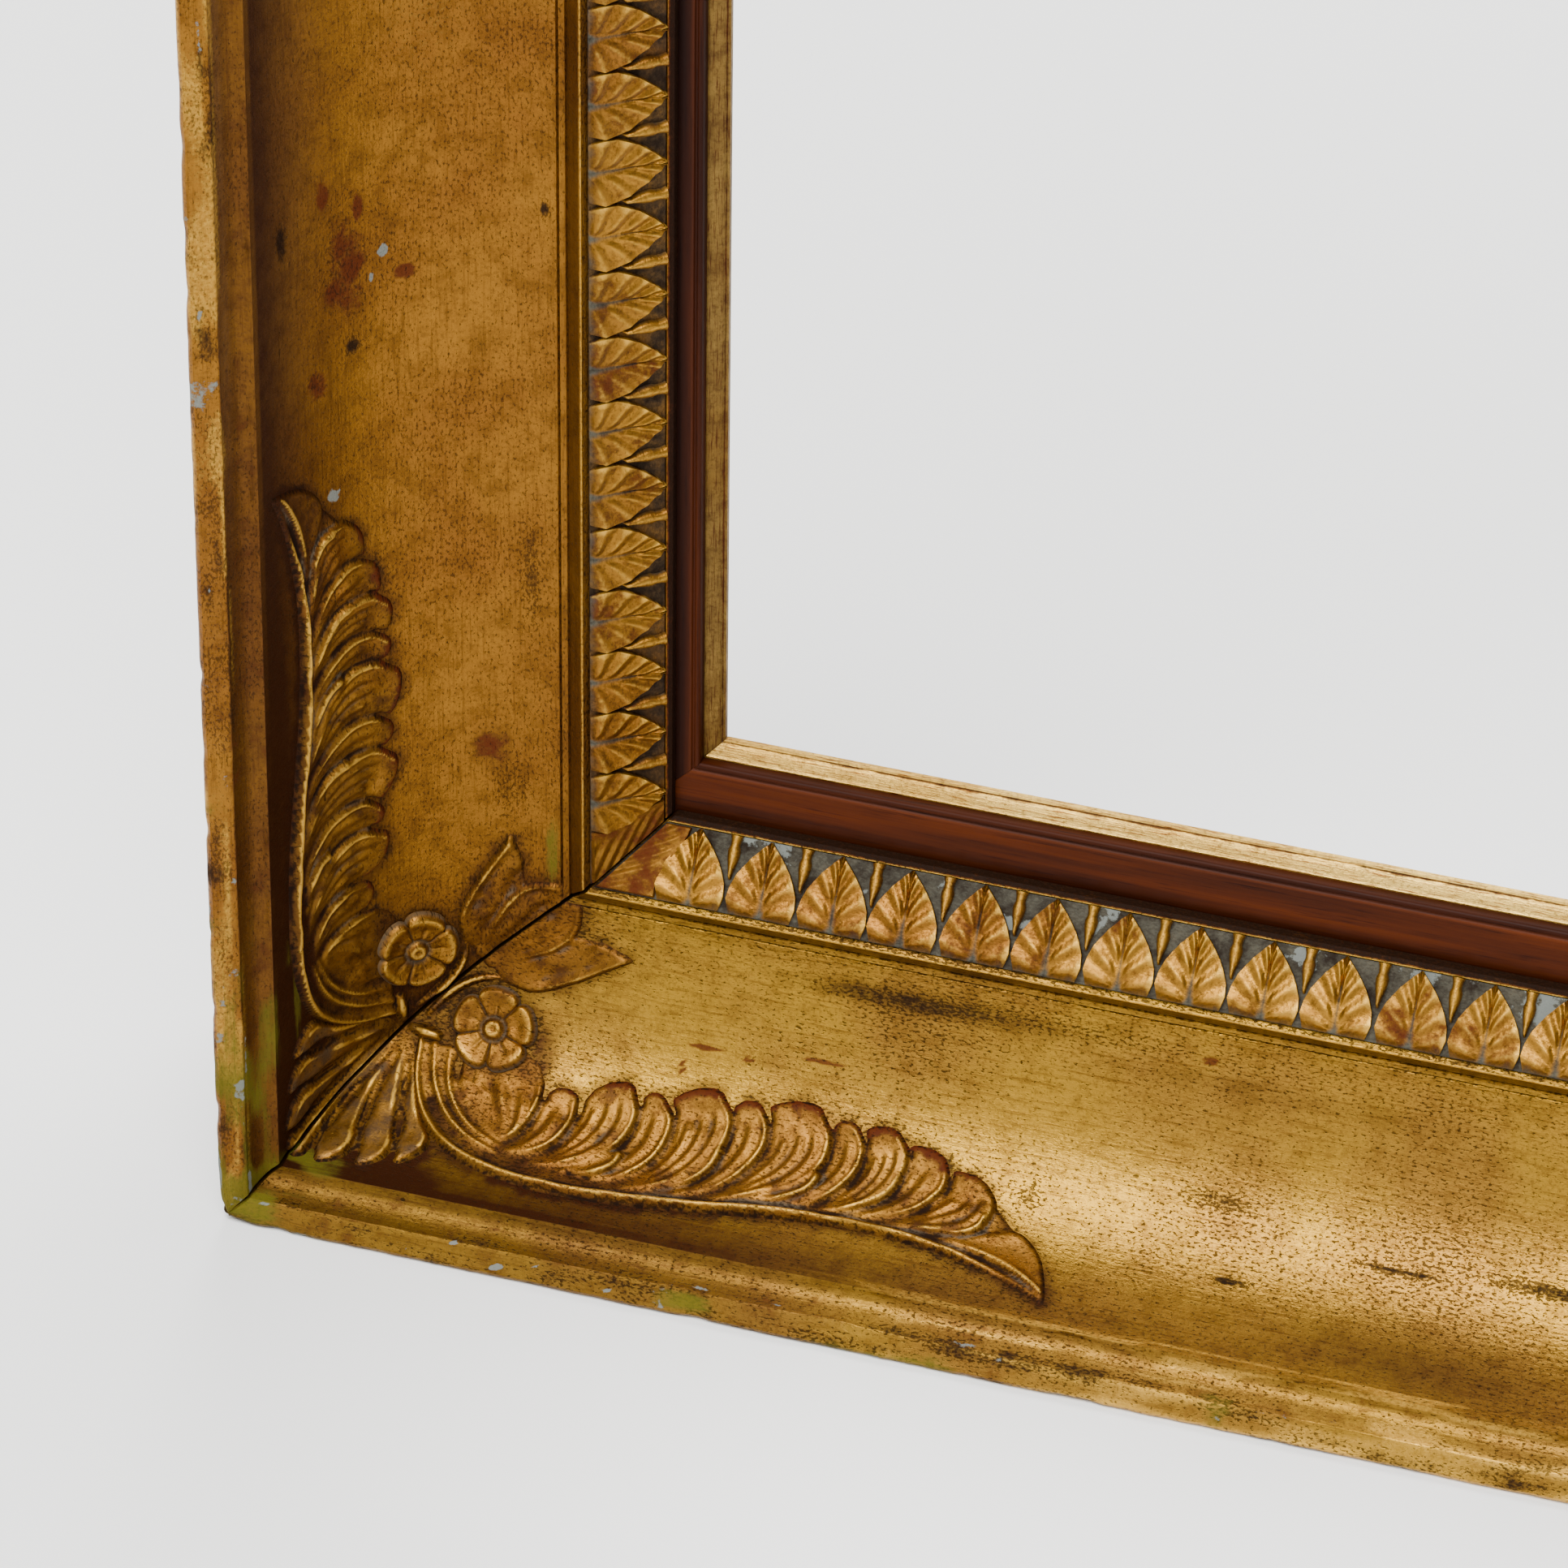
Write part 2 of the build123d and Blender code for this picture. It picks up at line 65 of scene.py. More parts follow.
def linear(hex_colour: str) -> tuple[float, float, float, float]:
    """Turns an sRGB hex colour into linear values.

    Args:
        hex_colour: six hex digits after a hash sign.

    Returns:
        Linear red, green, blue and an alpha of one.
    """
    channels = [int(hex_colour[i : i + 2], 16) / 255 for i in (1, 3, 5)]
    values = [c / 12.92 if c <= 0.04045 else ((c + 0.055) / 1.055) ** 2.4 for c in channels]
    return values[0], values[1], values[2], 1.0


def ease(low: float, high: float, value: Values) -> Array:
    """Eases a value from 0 at low to 1 at high."""
    share = np.clip((np.asarray(value, float) - low) / (high - low), 0, 1)
    return share * share * (3 - 2 * share)


def bell(value: Values, width: float) -> Array:
    """A smooth hump: 1 at zero, and near 0 two widths away."""
    return np.exp(-((np.asarray(value, float) / width) ** 2))


def patchy(x: Values, y: Values, size: float, seed: int) -> Array:
    """Smooth repeatable noise between 0 and 1 over a surface.

    Args:
        x: places along the surface.
        y: places across the surface.
        size: width of a patch, in the same unit.
        seed: picks one pattern.

    Returns:
        One value for each place.
    """
    cells = 64
    table = np.random.default_rng(seed).random((cells, cells))
    gx, gy = np.asarray(x, float) / size, np.asarray(y, float) / size
    ix, iy = np.floor(gx).astype(int), np.floor(gy).astype(int)
    fx, fy = ease(0, 1, gx - ix), ease(0, 1, gy - iy)
    near, far = (
        table[ix % cells, row % cells] * (1 - fx) + table[(ix + 1) % cells, row % cells] * fx
        for row in (iy, iy + 1)
    )
    return near * (1 - fy) + far * fy


def lengths_of(points: Array) -> Array:
    """Length along a line of points, from the first to each of them."""
    return np.concatenate([[0], np.cumsum(np.linalg.norm(np.diff(points, axis=0), axis=1))])


def follow(points: Points, share: Array) -> Array:
    """Walks a smooth curve through points.

    Args:
        points: places that the curve passes, in order.
        share: 0 at the first place to 1 at the last.

    Returns:
        One place on the curve for each share.
    """
    p = np.asarray(points, float)
    lengths = lengths_of(p)
    knots = lengths / lengths[-1]
    slopes = np.gradient(p, knots, axis=0)
    i = np.clip(np.searchsorted(knots, share, side="right") - 1, 0, len(p) - 2)
    width = (knots[i + 1] - knots[i])[:, None]
    u = (share - knots[i])[:, None] / width
    return (
        (2 * u**3 - 3 * u**2 + 1) * p[i]
        + (u**3 - 2 * u**2 + u) * width * slopes[i]
        + (3 * u**2 - 2 * u**3) * p[i + 1]
        + (u**3 - u**2) * width * slopes[i + 1]
    )


def drawn(points: Points, count: int = 24) -> Array:
    """Smooth curve through points, as that many places."""
    return follow(points, np.linspace(0, 1, count))


class Side(Enum):
    """The four sides of the frame."""

    BOTTOM = "bottom"
    RIGHT = "right"
    TOP = "top"
    LEFT = "left"


INWARD = {
    Side.BOTTOM: np.array([0.0, 0.0, 1.0]),
    Side.RIGHT: np.array([-1.0, 0.0, 0.0]),
    Side.TOP: np.array([0.0, 0.0, -1.0]),
    Side.LEFT: np.array([1.0, 0.0, 0.0]),
}


@dataclass(frozen=True)
class Rail:
    """One side of a mitred rectangle, with its own run, inward and forward directions.

    Attributes:
        side: which side it is.
        low: lowest corner of the rectangle on the back plane, in metres.
        high: highest corner of the rectangle on the back plane, in metres.
    """

    side: Side
    low: Vector
    high: Vector

    @property
    def upright(self) -> bool:
        """Whether it is one of the two upright sides."""
        return self.side in (Side.LEFT, Side.RIGHT)

    @property
    def half(self) -> float:
        """Half the length of the outer edge, in millimetres."""
        span = self.high - self.low
        return (span.z if self.upright else span.x) / 2 / MM

    @property
    def inward(self) -> Array:
        """Direction from the outer edge to the opening."""
        return INWARD[self.side]

    @property
    def run(self) -> Array:
        """Direction along the rail."""
        return np.cross(self.inward, FRONT)

    def place(self, along: Values, inward: Values, forward: Values) -> Array:
        """Turns millimetres on this side into places in the frame.

        Args:
            along: from the middle of the side, along its run.
            inward: from the outer edge.
            forward: from the back plane.

        Returns:
            Places in metres, one a row.
        """
        middle = np.array((self.low + self.high) / 2)
        reach = np.array((self.high - self.low) / 2)
        origin = middle - np.abs(reach) * self.inward
        along, inward, forward = np.broadcast_arrays(*map(np.asarray, (along, inward, forward)))
        steps = along[..., None] * self.run + inward[..., None] * self.inward + forward[..., None] * FRONT
        return origin + MM * steps


def rails_of(left: str, right: str) -> dict[Side, Rail]:
    """Rails of the rectangle that two upright nodes span.

    Args:
        left: node on the left.
        right: node on the right.

    Returns:
        One rail for each side, measured from the frame's back plane.
    """
    low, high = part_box(left)[0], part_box(right)[1]
    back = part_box("back_board_left")[1][1]
    corners = Vector((low[0], back, low[2])), Vector((high[0], back, high[2]))
    return {side: Rail(side, *corners) for side in Side}


@dataclass
class Skin:
    """Where a grid's vertices go and how worn each one is.

    Attributes:
        places: in metres, one a row.
        flats: flat places for patterns that follow the surface, in metres.
        tone: share of brown toning, and of painted shade under the rim, on the upright sides, on the upright
            slips and on the liner.
        dust: share of dust.
        green: share of green overpaint.
        rub: share of rubbed bright leaf, and of painted highlight along crests, edges and the liner's ridge.
        bole: share of red ground showing.
        chip: share of bare gesso.
        stain: share of dark staining.
        seen: false where a face may go; none keeps all.
        leaf: place on a pressed leaf, across from -1 to 1 and over its ribs from 0 to 1; none elsewhere.
    """

    places: Array
    flats: Array
    tone: Values = 0.0
    dust: Values = 0.0
    green: Values = 0.0
    rub: Values = 0.0
    bole: Values = 0.0
    chip: Values = 0.0
    stain: Values = 0.0
    seen: Array | None = None
    leaf: Array | None = None

    def layer(self, *names: str) -> Array:
        """Stacks named shares in columns.

        Args:
            names: up to four fields.

        Returns:
            Four columns between 0 and 1; those without a name hold ones.
        """
        zero = np.zeros(len(self.places))
        columns = [zero + getattr(self, name) for name in names] + [zero + 1] * (4 - len(names))
        return np.clip(np.stack(columns, 1), 0, 1)


Shape = Callable[[Array, Array], Skin]


@dataclass
class Sculpt:
    """A mesh in the making, with wear and marks on its vertices.

    Attributes:
        name: name of the piece.
        mesh: its vertices and faces so far.
    """

    name: str
    mesh: bmesh.types.BMesh = field(default_factory=bmesh.new)

    def __post_init__(self) -> None:
        """Adds the layers that the finishes read."""
        self.wear = self.mesh.verts.layers.float_color.new("wear")
        self.marks = self.mesh.verts.layers.float_color.new("marks")
        self.flat = self.mesh.loops.layers.uv.new("flat")
        self.leaf = self.mesh.loops.layers.uv.new("leaf")

    def lay(
        self, columns: int, rows: int, shape: Shape, outward: Callable[[Array], Array] | None = None
    ) -> None:
        """Lays a grid and moves it to a shape.

        Args:
            columns: faces along the first direction.
            rows: faces along the second direction.
            shape: takes both shares of each vertex and gives its skin.
            outward: gives the way out at a place; a grid that looks the other way is turned.
        """
        verts = bmesh.ops.create_grid(self.mesh, x_segments=columns, y_segments=rows, size=0.5)["verts"]
        shares = np.array([(v.co.x + 0.5, v.co.y + 0.5) for v in verts])
        skin = shape(shares[:, 0], shares[:, 1])
        wear = skin.layer("tone", "dust", "green", "rub")
        marks = skin.layer("bole", "chip", "stain")
        leaf = np.zeros_like(skin.flats) if skin.leaf is None else skin.leaf
        for vert, place, flat, local, worn, marked in zip(verts, skin.places, skin.flats, leaf, wear, marks):
            vert.co = place
            vert[self.wear] = worn
            vert[self.marks] = marked
            for loop in vert.link_loops:
                loop[self.flat].uv = flat
                loop[self.leaf].uv = local
        faces = {face for vert in verts for face in vert.link_faces}
        if outward is not None:
            # Some fifty faces tell which way the grid looks.
            facing = 0.0
            for face in list(faces)[:: max(1, len(faces) // 50)]:
                face.normal_update()
                facing += face.normal.dot(Vector(outward(np.array(face.calc_center_median()))))
            if facing < 0:
                bmesh.ops.reverse_faces(self.mesh, faces=list(faces))
        if skin.seen is not None:
            kept = {vert for vert, seen in zip(verts, skin.seen) if seen}
            gone = [face for face in faces if not kept.intersection(face.verts)]
            bmesh.ops.delete(self.mesh, geom=gone, context="FACES")

    def trim(self, point: Array, normal: Array) -> None:
        """Cuts away what lies past a plane.

        Args:
            point: a place on the plane.
            normal: points to the side that goes.
        """
        geometry = self.mesh.verts[:] + self.mesh.edges[:] + self.mesh.faces[:]
        bmesh.ops.bisect_plane(
            self.mesh, geom=geometry, dist=WELD, plane_co=point, plane_no=normal, clear_outer=True
        )

    def close(self) -> None:
        """Welds seams, fills open ends and points all faces outward."""
        bmesh.ops.remove_doubles(self.mesh, verts=self.mesh.verts[:], dist=WELD)
        bmesh.ops.holes_fill(self.mesh, edges=[edge for edge in self.mesh.edges if edge.is_boundary], sides=0)
        bmesh.ops.recalc_face_normals(self.mesh, faces=self.mesh.faces[:])

    def take(self, other: "Sculpt") -> None:
        """Adds another mesh to this one and frees it.

        Args:
            other: the mesh that is added.
        """
        data = bpy.data.meshes.new(other.name)
        other.mesh.to_mesh(data)
        other.mesh.free()
        self.mesh.from_mesh(data)
        bpy.data.meshes.remove(data)

    def finish(self, material: Material, slot: str, *nodes: str, crisp: float) -> None:
        """Makes the object, gives it a finish and lets it stand for CAD nodes.

        Args:
            material: finish of the whole piece.
            slot: material slot of the record; not used.
            nodes: CAD nodes that the piece stands for.
            crisp: edges sharper than this angle, in degrees, stay crisp.
        """
        for face in self.mesh.faces:
            face.smooth = True
        for edge in self.mesh.edges:
            if len(edge.link_faces) == 2:
                edge.smooth = edge.calc_face_angle(0.0) < math.radians(crisp)
        data = bpy.data.meshes.new(self.name)
        self.mesh.to_mesh(data)
        self.mesh.free()
        piece = bpy.data.objects.new(self.name, data)
        bpy.context.scene.collection.objects.link(piece)
        data.materials.append(material)
        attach(piece, "frame")
        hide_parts(*nodes)
        LOG.info("%s: %d faces", self.name, len(data.polygons))


# Finishes


@dataclass(frozen=True)
class Coat:
    """One colour over others, which shows where a pattern is strong.

    Attributes:
        tint: its colour.
        pattern: output of the node that it follows.
        begin: value of the pattern where it starts to show.
        full: value where it shows most.
        most: how much it shows there.
        weight: what the pattern counts for beside a share.
        share: wear that is added to the pattern, if any.
        soft: whether it fades in smoothly.
    """

    tint: str
    pattern: Socket
    begin: float = 0.0
    full: float = 1.0
    most: float = 1.0
    weight: float = 1.0
    share: Socket | None = None
    soft: bool = True


class Recipe:
    """A material being put together from nodes."""

    def __init__(self, name: str) -> None:
        """Starts a material with a Principled shader.

        Args:
            name: what the real material is called.
        """
        self.material = bpy.data.materials.new(name)
        self.material.use_nodes = True
        self.tree = self.material.node_tree
        self.shader = self.tree.nodes["Principled BSDF"]

    def add(self, kind: str, inputs: dict[Key, object], out: Key = 0, **settings: object) -> Socket:
        """Adds one node with its settings and links.

        Args:
            kind: Blender's name of the node, without its prefix.
            inputs: sockets by number or name, each with a plain value or another node's output.
            out: output that is wanted.
            settings: attributes of the node.

        Returns:
            The wanted output.
        """
        node = self.tree.nodes.new("ShaderNode" + kind)
        for key, value in settings.items():
            setattr(node, key, value)
        for key, value in inputs.items():
            if isinstance(value, Socket):
                self.tree.links.new(value, node.inputs[key])
            else:
                node.inputs[key].default_value = value
        return node.outputs[out]

    def cover(self, colour: object, coats: dict[str, Coat]) -> tuple[object, dict[str, Socket]]:
        """Lays coats over a colour, in order.

        Args:
            colour: plain colour or output that they lie on.
            coats: what is laid, by name.

        Returns:
            The covered colour, and how much each coat shows.
        """
        shows = {}
        for name, coat in coats.items():
            show = coat.pattern
            if coat.share is not None:
                show = self.add("Math", {0: show, 1: coat.weight, 2: coat.share}, operation="MULTIPLY_ADD")
            limits = {0: show, 1: coat.begin, 2: coat.full, 4: coat.most}
            fade = "SMOOTHSTEP" if coat.soft else "LINEAR"
            shows[name] = self.add("MapRange", limits, interpolation_type=fade)
            colour = self.add("Mix", {0: shows[name], 6: colour, 7: linear(coat.tint)}, 2, data_type="RGBA")
        return colour, shows

    def dress(self, **sockets: object) -> Material:
        """Sets or links the shader's sockets.

        Args:
            sockets: values or outputs by name, with underscores for spaces.

        Returns:
            The material.
        """
        for key, value in sockets.items():
            socket = self.shader.inputs[key.replace("_", " ")]
            if isinstance(value, Socket):
                self.tree.links.new(value, socket)
            else:
                socket.default_value = value
        return self.material


@dataclass(frozen=True)
class AgedGilding:
    """Leaf gilding over red bole and gesso, toned, dusty and rubbed.

    Leaf this old is a soft broken metal: warm and bright where hands and cloths have rubbed it, brown where
    toning varnish lies, grey where dust is caught, and red or white where it is chipped. Its brown and bright
    coats also lay painted shade and painted highlight where the wear shares carry them.

    Attributes:
        name: name of the finish.
        leaf: colour of sound leaf.
        deep: colour of thin leaf, where bole shows through.
        patina: strength of the brown patches.
        rough: roughness of sound leaf.
        speck: strength of the dark specks.
        grain: strength of the lines that the brush and the burnisher left along the rail.
        line: colour of these lines.
        grime: colour of caught dust.
        line_gap: distance between these lines, in millimetres.
        ribbed: whether the mould pressed ribs into each leaf.
    """

    name: str
    leaf: str
    deep: str
    patina: float
    rough: float
    speck: float
    grain: float
    line: str = "#4A2C0E"
    grime: str = "#423528"
    line_gap: float = 0.8
    ribbed: bool = False

    def build(self) -> Material:
        """Puts the material together.

        Returns:
            The material.
        """
        r = Recipe(self.name)
        add = r.add
        spot = add("TexCoord", {}, "Object")
        flat = add("UVMap", {}, uv_map="flat")
        wear, marks = (add("Attribute", {}, "Color", attribute_name=name) for name in ("wear", "marks"))
        rub = add("Attribute", {}, "Alpha", attribute_name="wear")
        tone, dust, green = (add("SeparateColor", {0: wear}, i) for i in range(3))
        bole, chip, stain = (add("SeparateColor", {0: marks}, i) for i in range(3))
        along, drawn_out = (
            add("Mapping", {"Vector": flat, "Scale": (stretch, 1.0, 1.0)}) for stretch in (0.05, 0.55)
        )
        # Clouds of 45 mm, mottling of 6 mm and grit of 1 mm break the leaf up as old leaf is. Burnishing left
        # lines along the rail, and pits of half a millimetre and a few wider spots have filled with dirt.
        cloud, mottle, grit, lines, pits, spots = (
            add("TexNoise", {"Vector": place, "Scale": 1 / (size * MM), "Detail": detail, "Roughness": rough})
            for place, size, detail, rough in (
                (spot, 45, 4.0, 0.6), (spot, 6, 6.0, 0.7), (spot, 1, 3.0, 0.7),
                (along, self.line_gap, 4.0, 0.7), (drawn_out, 0.6, 3.0, 0.6), (drawn_out, 3.4, 2.0, 0.6),
            )
        )
        height = add("Math", {0: grit, 1: 0.6, 2: mottle}, operation="MULTIPLY_ADD")
        if self.ribbed:
            # The ribs of the mesh are painted bright on top as painted highlight and brown between as painted
            # shade.
            across, up = (add("SeparateXYZ", {0: add("UVMap", {}, uv_map="leaf")}, i) for i in range(2))
            side = add("Math", {0: across}, operation="ABSOLUTE")
            turn = add("Math", {0: up, 1: 2 * LEAF_RIBS * math.pi, 2: -math.pi / 2}, operation="MULTIPLY_ADD")
            ribs = add("Math", {0: turn}, operation="SINE")
            near = add("MapRange", {0: side, 1: 0.10, 2: 0.30}, interpolation_type="SMOOTHSTEP")
            ribs = add("Math", {0: ribs, 1: near}, operation="MULTIPLY")
            rub = add("Math", {0: ribs, 1: 0.16, 2: rub}, operation="MULTIPLY_ADD")
            stain = add("Math", {0: ribs, 1: -0.14, 2: stain}, operation="MULTIPLY_ADD")
            height = add("Math", {0: ribs, 1: 1.5, 2: height}, operation="MULTIPLY_ADD")
        for pattern, weight in ((cloud, 0.22), (stain, 0.24)):
            pits = add("Math", {0: pattern, 1: weight, 2: pits}, operation="MULTIPLY_ADD")
        pits, spots = (
            add("MapRange", {0: pattern, 1: begin, 2: full, 4: self.speck}, interpolation_type="SMOOTHSTEP")
            for pattern, begin, full in ((pits, 0.665, 0.78), (spots, 0.72, 0.77))
        )
        pits = add("Math", {0: pits, 1: spots}, operation="MAXIMUM")
        brushed = add("Math", {0: lines, 1: 0.8, 2: green}, operation="MULTIPLY_ADD")
        # The toned coat also lays painted shade, and the bright coat painted highlight, where the wear shares
        # carry them.
        colour, shows = r.cover(linear(self.leaf), {
            "thin": Coat(self.deep, cloud, 0.36, 0.68, 0.85),
            "patch": Coat("#44260B", mottle, 0.46, 0.64, self.patina),
            "streak": Coat(self.line, lines, 0.49, 0.68, self.grain),
            "grain": Coat("#4E3212", grit, 0.48, 0.68, 0.45),
            "toned": Coat("#33190A", mottle, 0.18, 1.15, 1.0, 0.35, tone, soft=False),
            "red": Coat("#4A1C0A", mottle, 0.66, 0.92, 0.85, 0.9, bole),
            "dusty": Coat(self.grime, mottle, 0.62, 1.25, 0.9, 0.8, dust),
            "bright": Coat("#BE923A", grit, 0.62, 1.25, 0.9, 0.8, rub),
            "pits": Coat("#1E1206", pits, soft=False),
            "dirt": Coat("#190C05", mottle, 0.78, 1.16, 0.9, 1.0, stain),
            "paint": Coat("#565212", mottle, 0.98, 1.55, 0.8, 0.8, brushed),
            "bare": Coat("#6C706A", mottle, 0.98, 1.06, 0.9, 1.2, chip),
        })
        # Where something lies on the leaf or has taken it off, the metal's shine is gone.
        dull = shows["dusty"]
        for name in ("paint", "bare", "dirt", "red"):
            dull = add("Math", {0: dull, 1: shows[name]}, operation="MAXIMUM")
        dull = add("Math", {0: shows["toned"], 1: 0.5, 2: dull}, operation="MULTIPLY_ADD", use_clamp=True)
        metal = add("MapRange", {0: dull, 3: 0.92, 4: 0.0})
        rough = add("MapRange", {0: dull, 3: self.rough, 4: min(1.0, self.rough + 0.35)})
        rough = add("Math", {0: mottle, 1: 0.2, 2: rough}, operation="MULTIPLY_ADD", use_clamp=True)
        height = add("Math", {0: lines, 1: 0.9 * self.grain, 2: height}, operation="MULTIPLY_ADD")
        height = add("Math", {0: pits, 1: -0.6, 2: height}, operation="MULTIPLY_ADD")
        bump = add("Bump", {"Strength": 0.5, "Distance": 0.35 * MM, "Height": height})
        return r.dress(
            Base_Color=colour, Metallic=metal, Roughness=rough, Normal=bump, Specular_IOR_Level=0.06
        )


@dataclass(frozen=True)
class PolishedMahogany:
    """Red-brown hardwood under a satin polish: short dark pores and ribbons along the bar, with painted shade
    and a painted highlight line.
    """

    name: str = "polished_mahogany"

    def build(self) -> Material:
        """Puts the material together.

        Returns:
            The material.
        """
        r = Recipe(self.name)
        add = r.add
        flat = add("UVMap", {}, uv_map="flat")
        wear = add("Attribute", {}, "Color", attribute_name="wear")
        painted_shade = add("SeparateColor", {0: wear}, 0)
        worn = add("Attribute", {}, "Alpha", attribute_name="wear")
        # Ribbons 5 mm wide run far along the bar; pores of 0.8 mm are drawn coarser than real ones to show.
        along = add("Mapping", {"Vector": flat, "Scale": (0.04, 1.0, 1.0)})
        ribbon, pores = (
            add("TexNoise", {"Vector": along, "Scale": 1 / (size * MM), "Detail": detail, "Roughness": rough})
            for size, detail, rough in ((5, 4.0, 0.6), (0.8, 3.0, 0.65))
        )
        # The wear colour's red share lays painted shade, and its alpha lays a painted highlight line on the
        # ridge.
        colour, _ = r.cover(linear("#2A0E03"), {
            "ribbon": Coat("#4A1E05", ribbon, 0.3, 0.7),
            "pores": Coat("#0E0302", pores, 0.52, 0.75, 0.7),
            "painted_shade": Coat("#0C0302", painted_shade, soft=False),
            "worn": Coat("#6A3418", worn, soft=False),
        })
        rough = add("Math", {0: ribbon, 1: 0.2, 2: 0.34}, operation="MULTIPLY_ADD")
        bump = add("Bump", {"Strength": 0.25, "Distance": 0.1 * MM, "Height": pores})
        return r.dress(Base_Color=colour, Roughness=rough, Normal=bump, Specular_IOR_Level=0.06)


@dataclass(frozen=True)
class SawnWood:
    """Old wood, sawn and never finished: growth rings, fine saw lines and brown grime.

    Attributes:
        name: name of the finish.
        run: how far each axis is stretched; the grain's axis has the smallest number.
        light: colour of the early wood.
        dark: colour of the late wood.
    """

    name: str
    run: tuple[float, float, float]
    light: str = "#745838"
    dark: str = "#4A321C"

    def build(self) -> Material:
        """Puts the material together.

        Returns:
            The material.
        """
        r = Recipe(self.name)
        add = r.add
        spot = add("TexCoord", {}, "Object")
        along = add("Mapping", {"Vector": spot, "Scale": self.run})
        athwart = add("Mapping", {"Vector": spot, "Scale": self.run[::-1]})
        # Growth rings 5 mm apart are the contours of a slow swell; fibres of 1 mm run along the board,
        # saw lines 3 mm apart run across it, and grime lies in clouds of 90 mm.
        swell, fibre, kerf, grime = (
            add("TexNoise", {"Vector": place, "Scale": 1 / (size * MM), "Detail": detail, "Roughness": rough})
            for place, size, detail, rough in (
                (along, 38, 2.0, 0.4), (along, 1, 4.0, 0.65), (athwart, 3, 2.0, 0.5), (spot, 90, 6.0, 0.7),
            )
        )
        rings = add("Math", {0: swell, 1: 16.0}, operation="MULTIPLY")
        rings = add("Math", {0: rings}, operation="FRACT")
        colour, _ = r.cover(linear(self.light), {
            "late_wood": Coat(self.dark, rings, 0.2, 1.0, 0.8),
            "fibre": Coat("#352212", fibre, 0.48, 0.72, 0.6),
            "saw_lines": Coat("#3C2917", kerf, 0.5, 0.7, 0.3),
            "grime": Coat("#33271B", grime, 0.42, 0.72, 0.5),
        })
        height = add("Math", {0: kerf, 1: 0.7, 2: fibre}, operation="MULTIPLY_ADD")
        bump = add("Bump", {"Strength": 0.6, "Distance": 0.3 * MM, "Height": height})
        return r.dress(Base_Color=colour, Roughness=0.85, Normal=bump)


@dataclass(frozen=True)
class DullMetal:
    """Stamped sheet or drawn wire gone dull: tarnish in clouds and fine handling scratches.

    Attributes:
        name: name of the finish.
        bright: colour of clean metal.
        tarnish: colour of tarnish.
        rough: roughness of clean metal.
    """

    name: str
    bright: str
    tarnish: str
    rough: float

    def build(self) -> Material:
        """Puts the material together.

        Returns:
            The material.
        """
        r = Recipe(self.name)
        add = r.add
        spot = add("TexCoord", {}, "Object")
        # Tarnish comes in clouds of 5 mm; scratches of 0.6 mm are drawn coarser than real ones to show.
        cloud, fine = (
            add("TexNoise", {"Vector": spot, "Scale": 1 / (size * MM), "Detail": detail, "Roughness": 0.6})
            for size, detail in ((5, 4.0), (0.6, 3.0))
        )
        colour, _ = r.cover(linear(self.bright), {"tarnish": Coat(self.tarnish, cloud, 0.4, 0.7)})
        rough = add("Math", {0: cloud, 1: 0.25, 2: self.rough}, operation="MULTIPLY_ADD")
        bump = add("Bump", {"Strength": 0.2, "Distance": 0.08 * MM, "Height": fine})
        return r.dress(Base_Color=colour, Metallic=1.0, Roughness=rough, Normal=bump)


@dataclass(frozen=True)
class SheetCork:
    """Cut sheet cork: pale and dark granules of 2 to 3 mm pressed together."""

    name: str = "sheet_cork"

    def build(self) -> Material:
        """Puts the material together.

        Returns:
            The material.
        """
        r = Recipe(self.name)
        add = r.add
        spot = add("TexCoord", {}, "Object")
        granule, edge = (
            add("TexVoronoi", {"Vector": spot, "Scale": 1 / (2.5 * MM)}, out) for out in ("Color", "Distance")
        )
        pale = add("SeparateColor", {0: granule}, 0)
        colour, _ = r.cover(linear("#563A20"), {"pale": Coat("#866844", pale, soft=False)})
        bump = add("Bump", {"Strength": 0.5, "Distance": 0.4 * MM, "Height": edge})
        return r.dress(Base_Color=colour, Roughness=0.9, Normal=bump)


# Relief on the cove


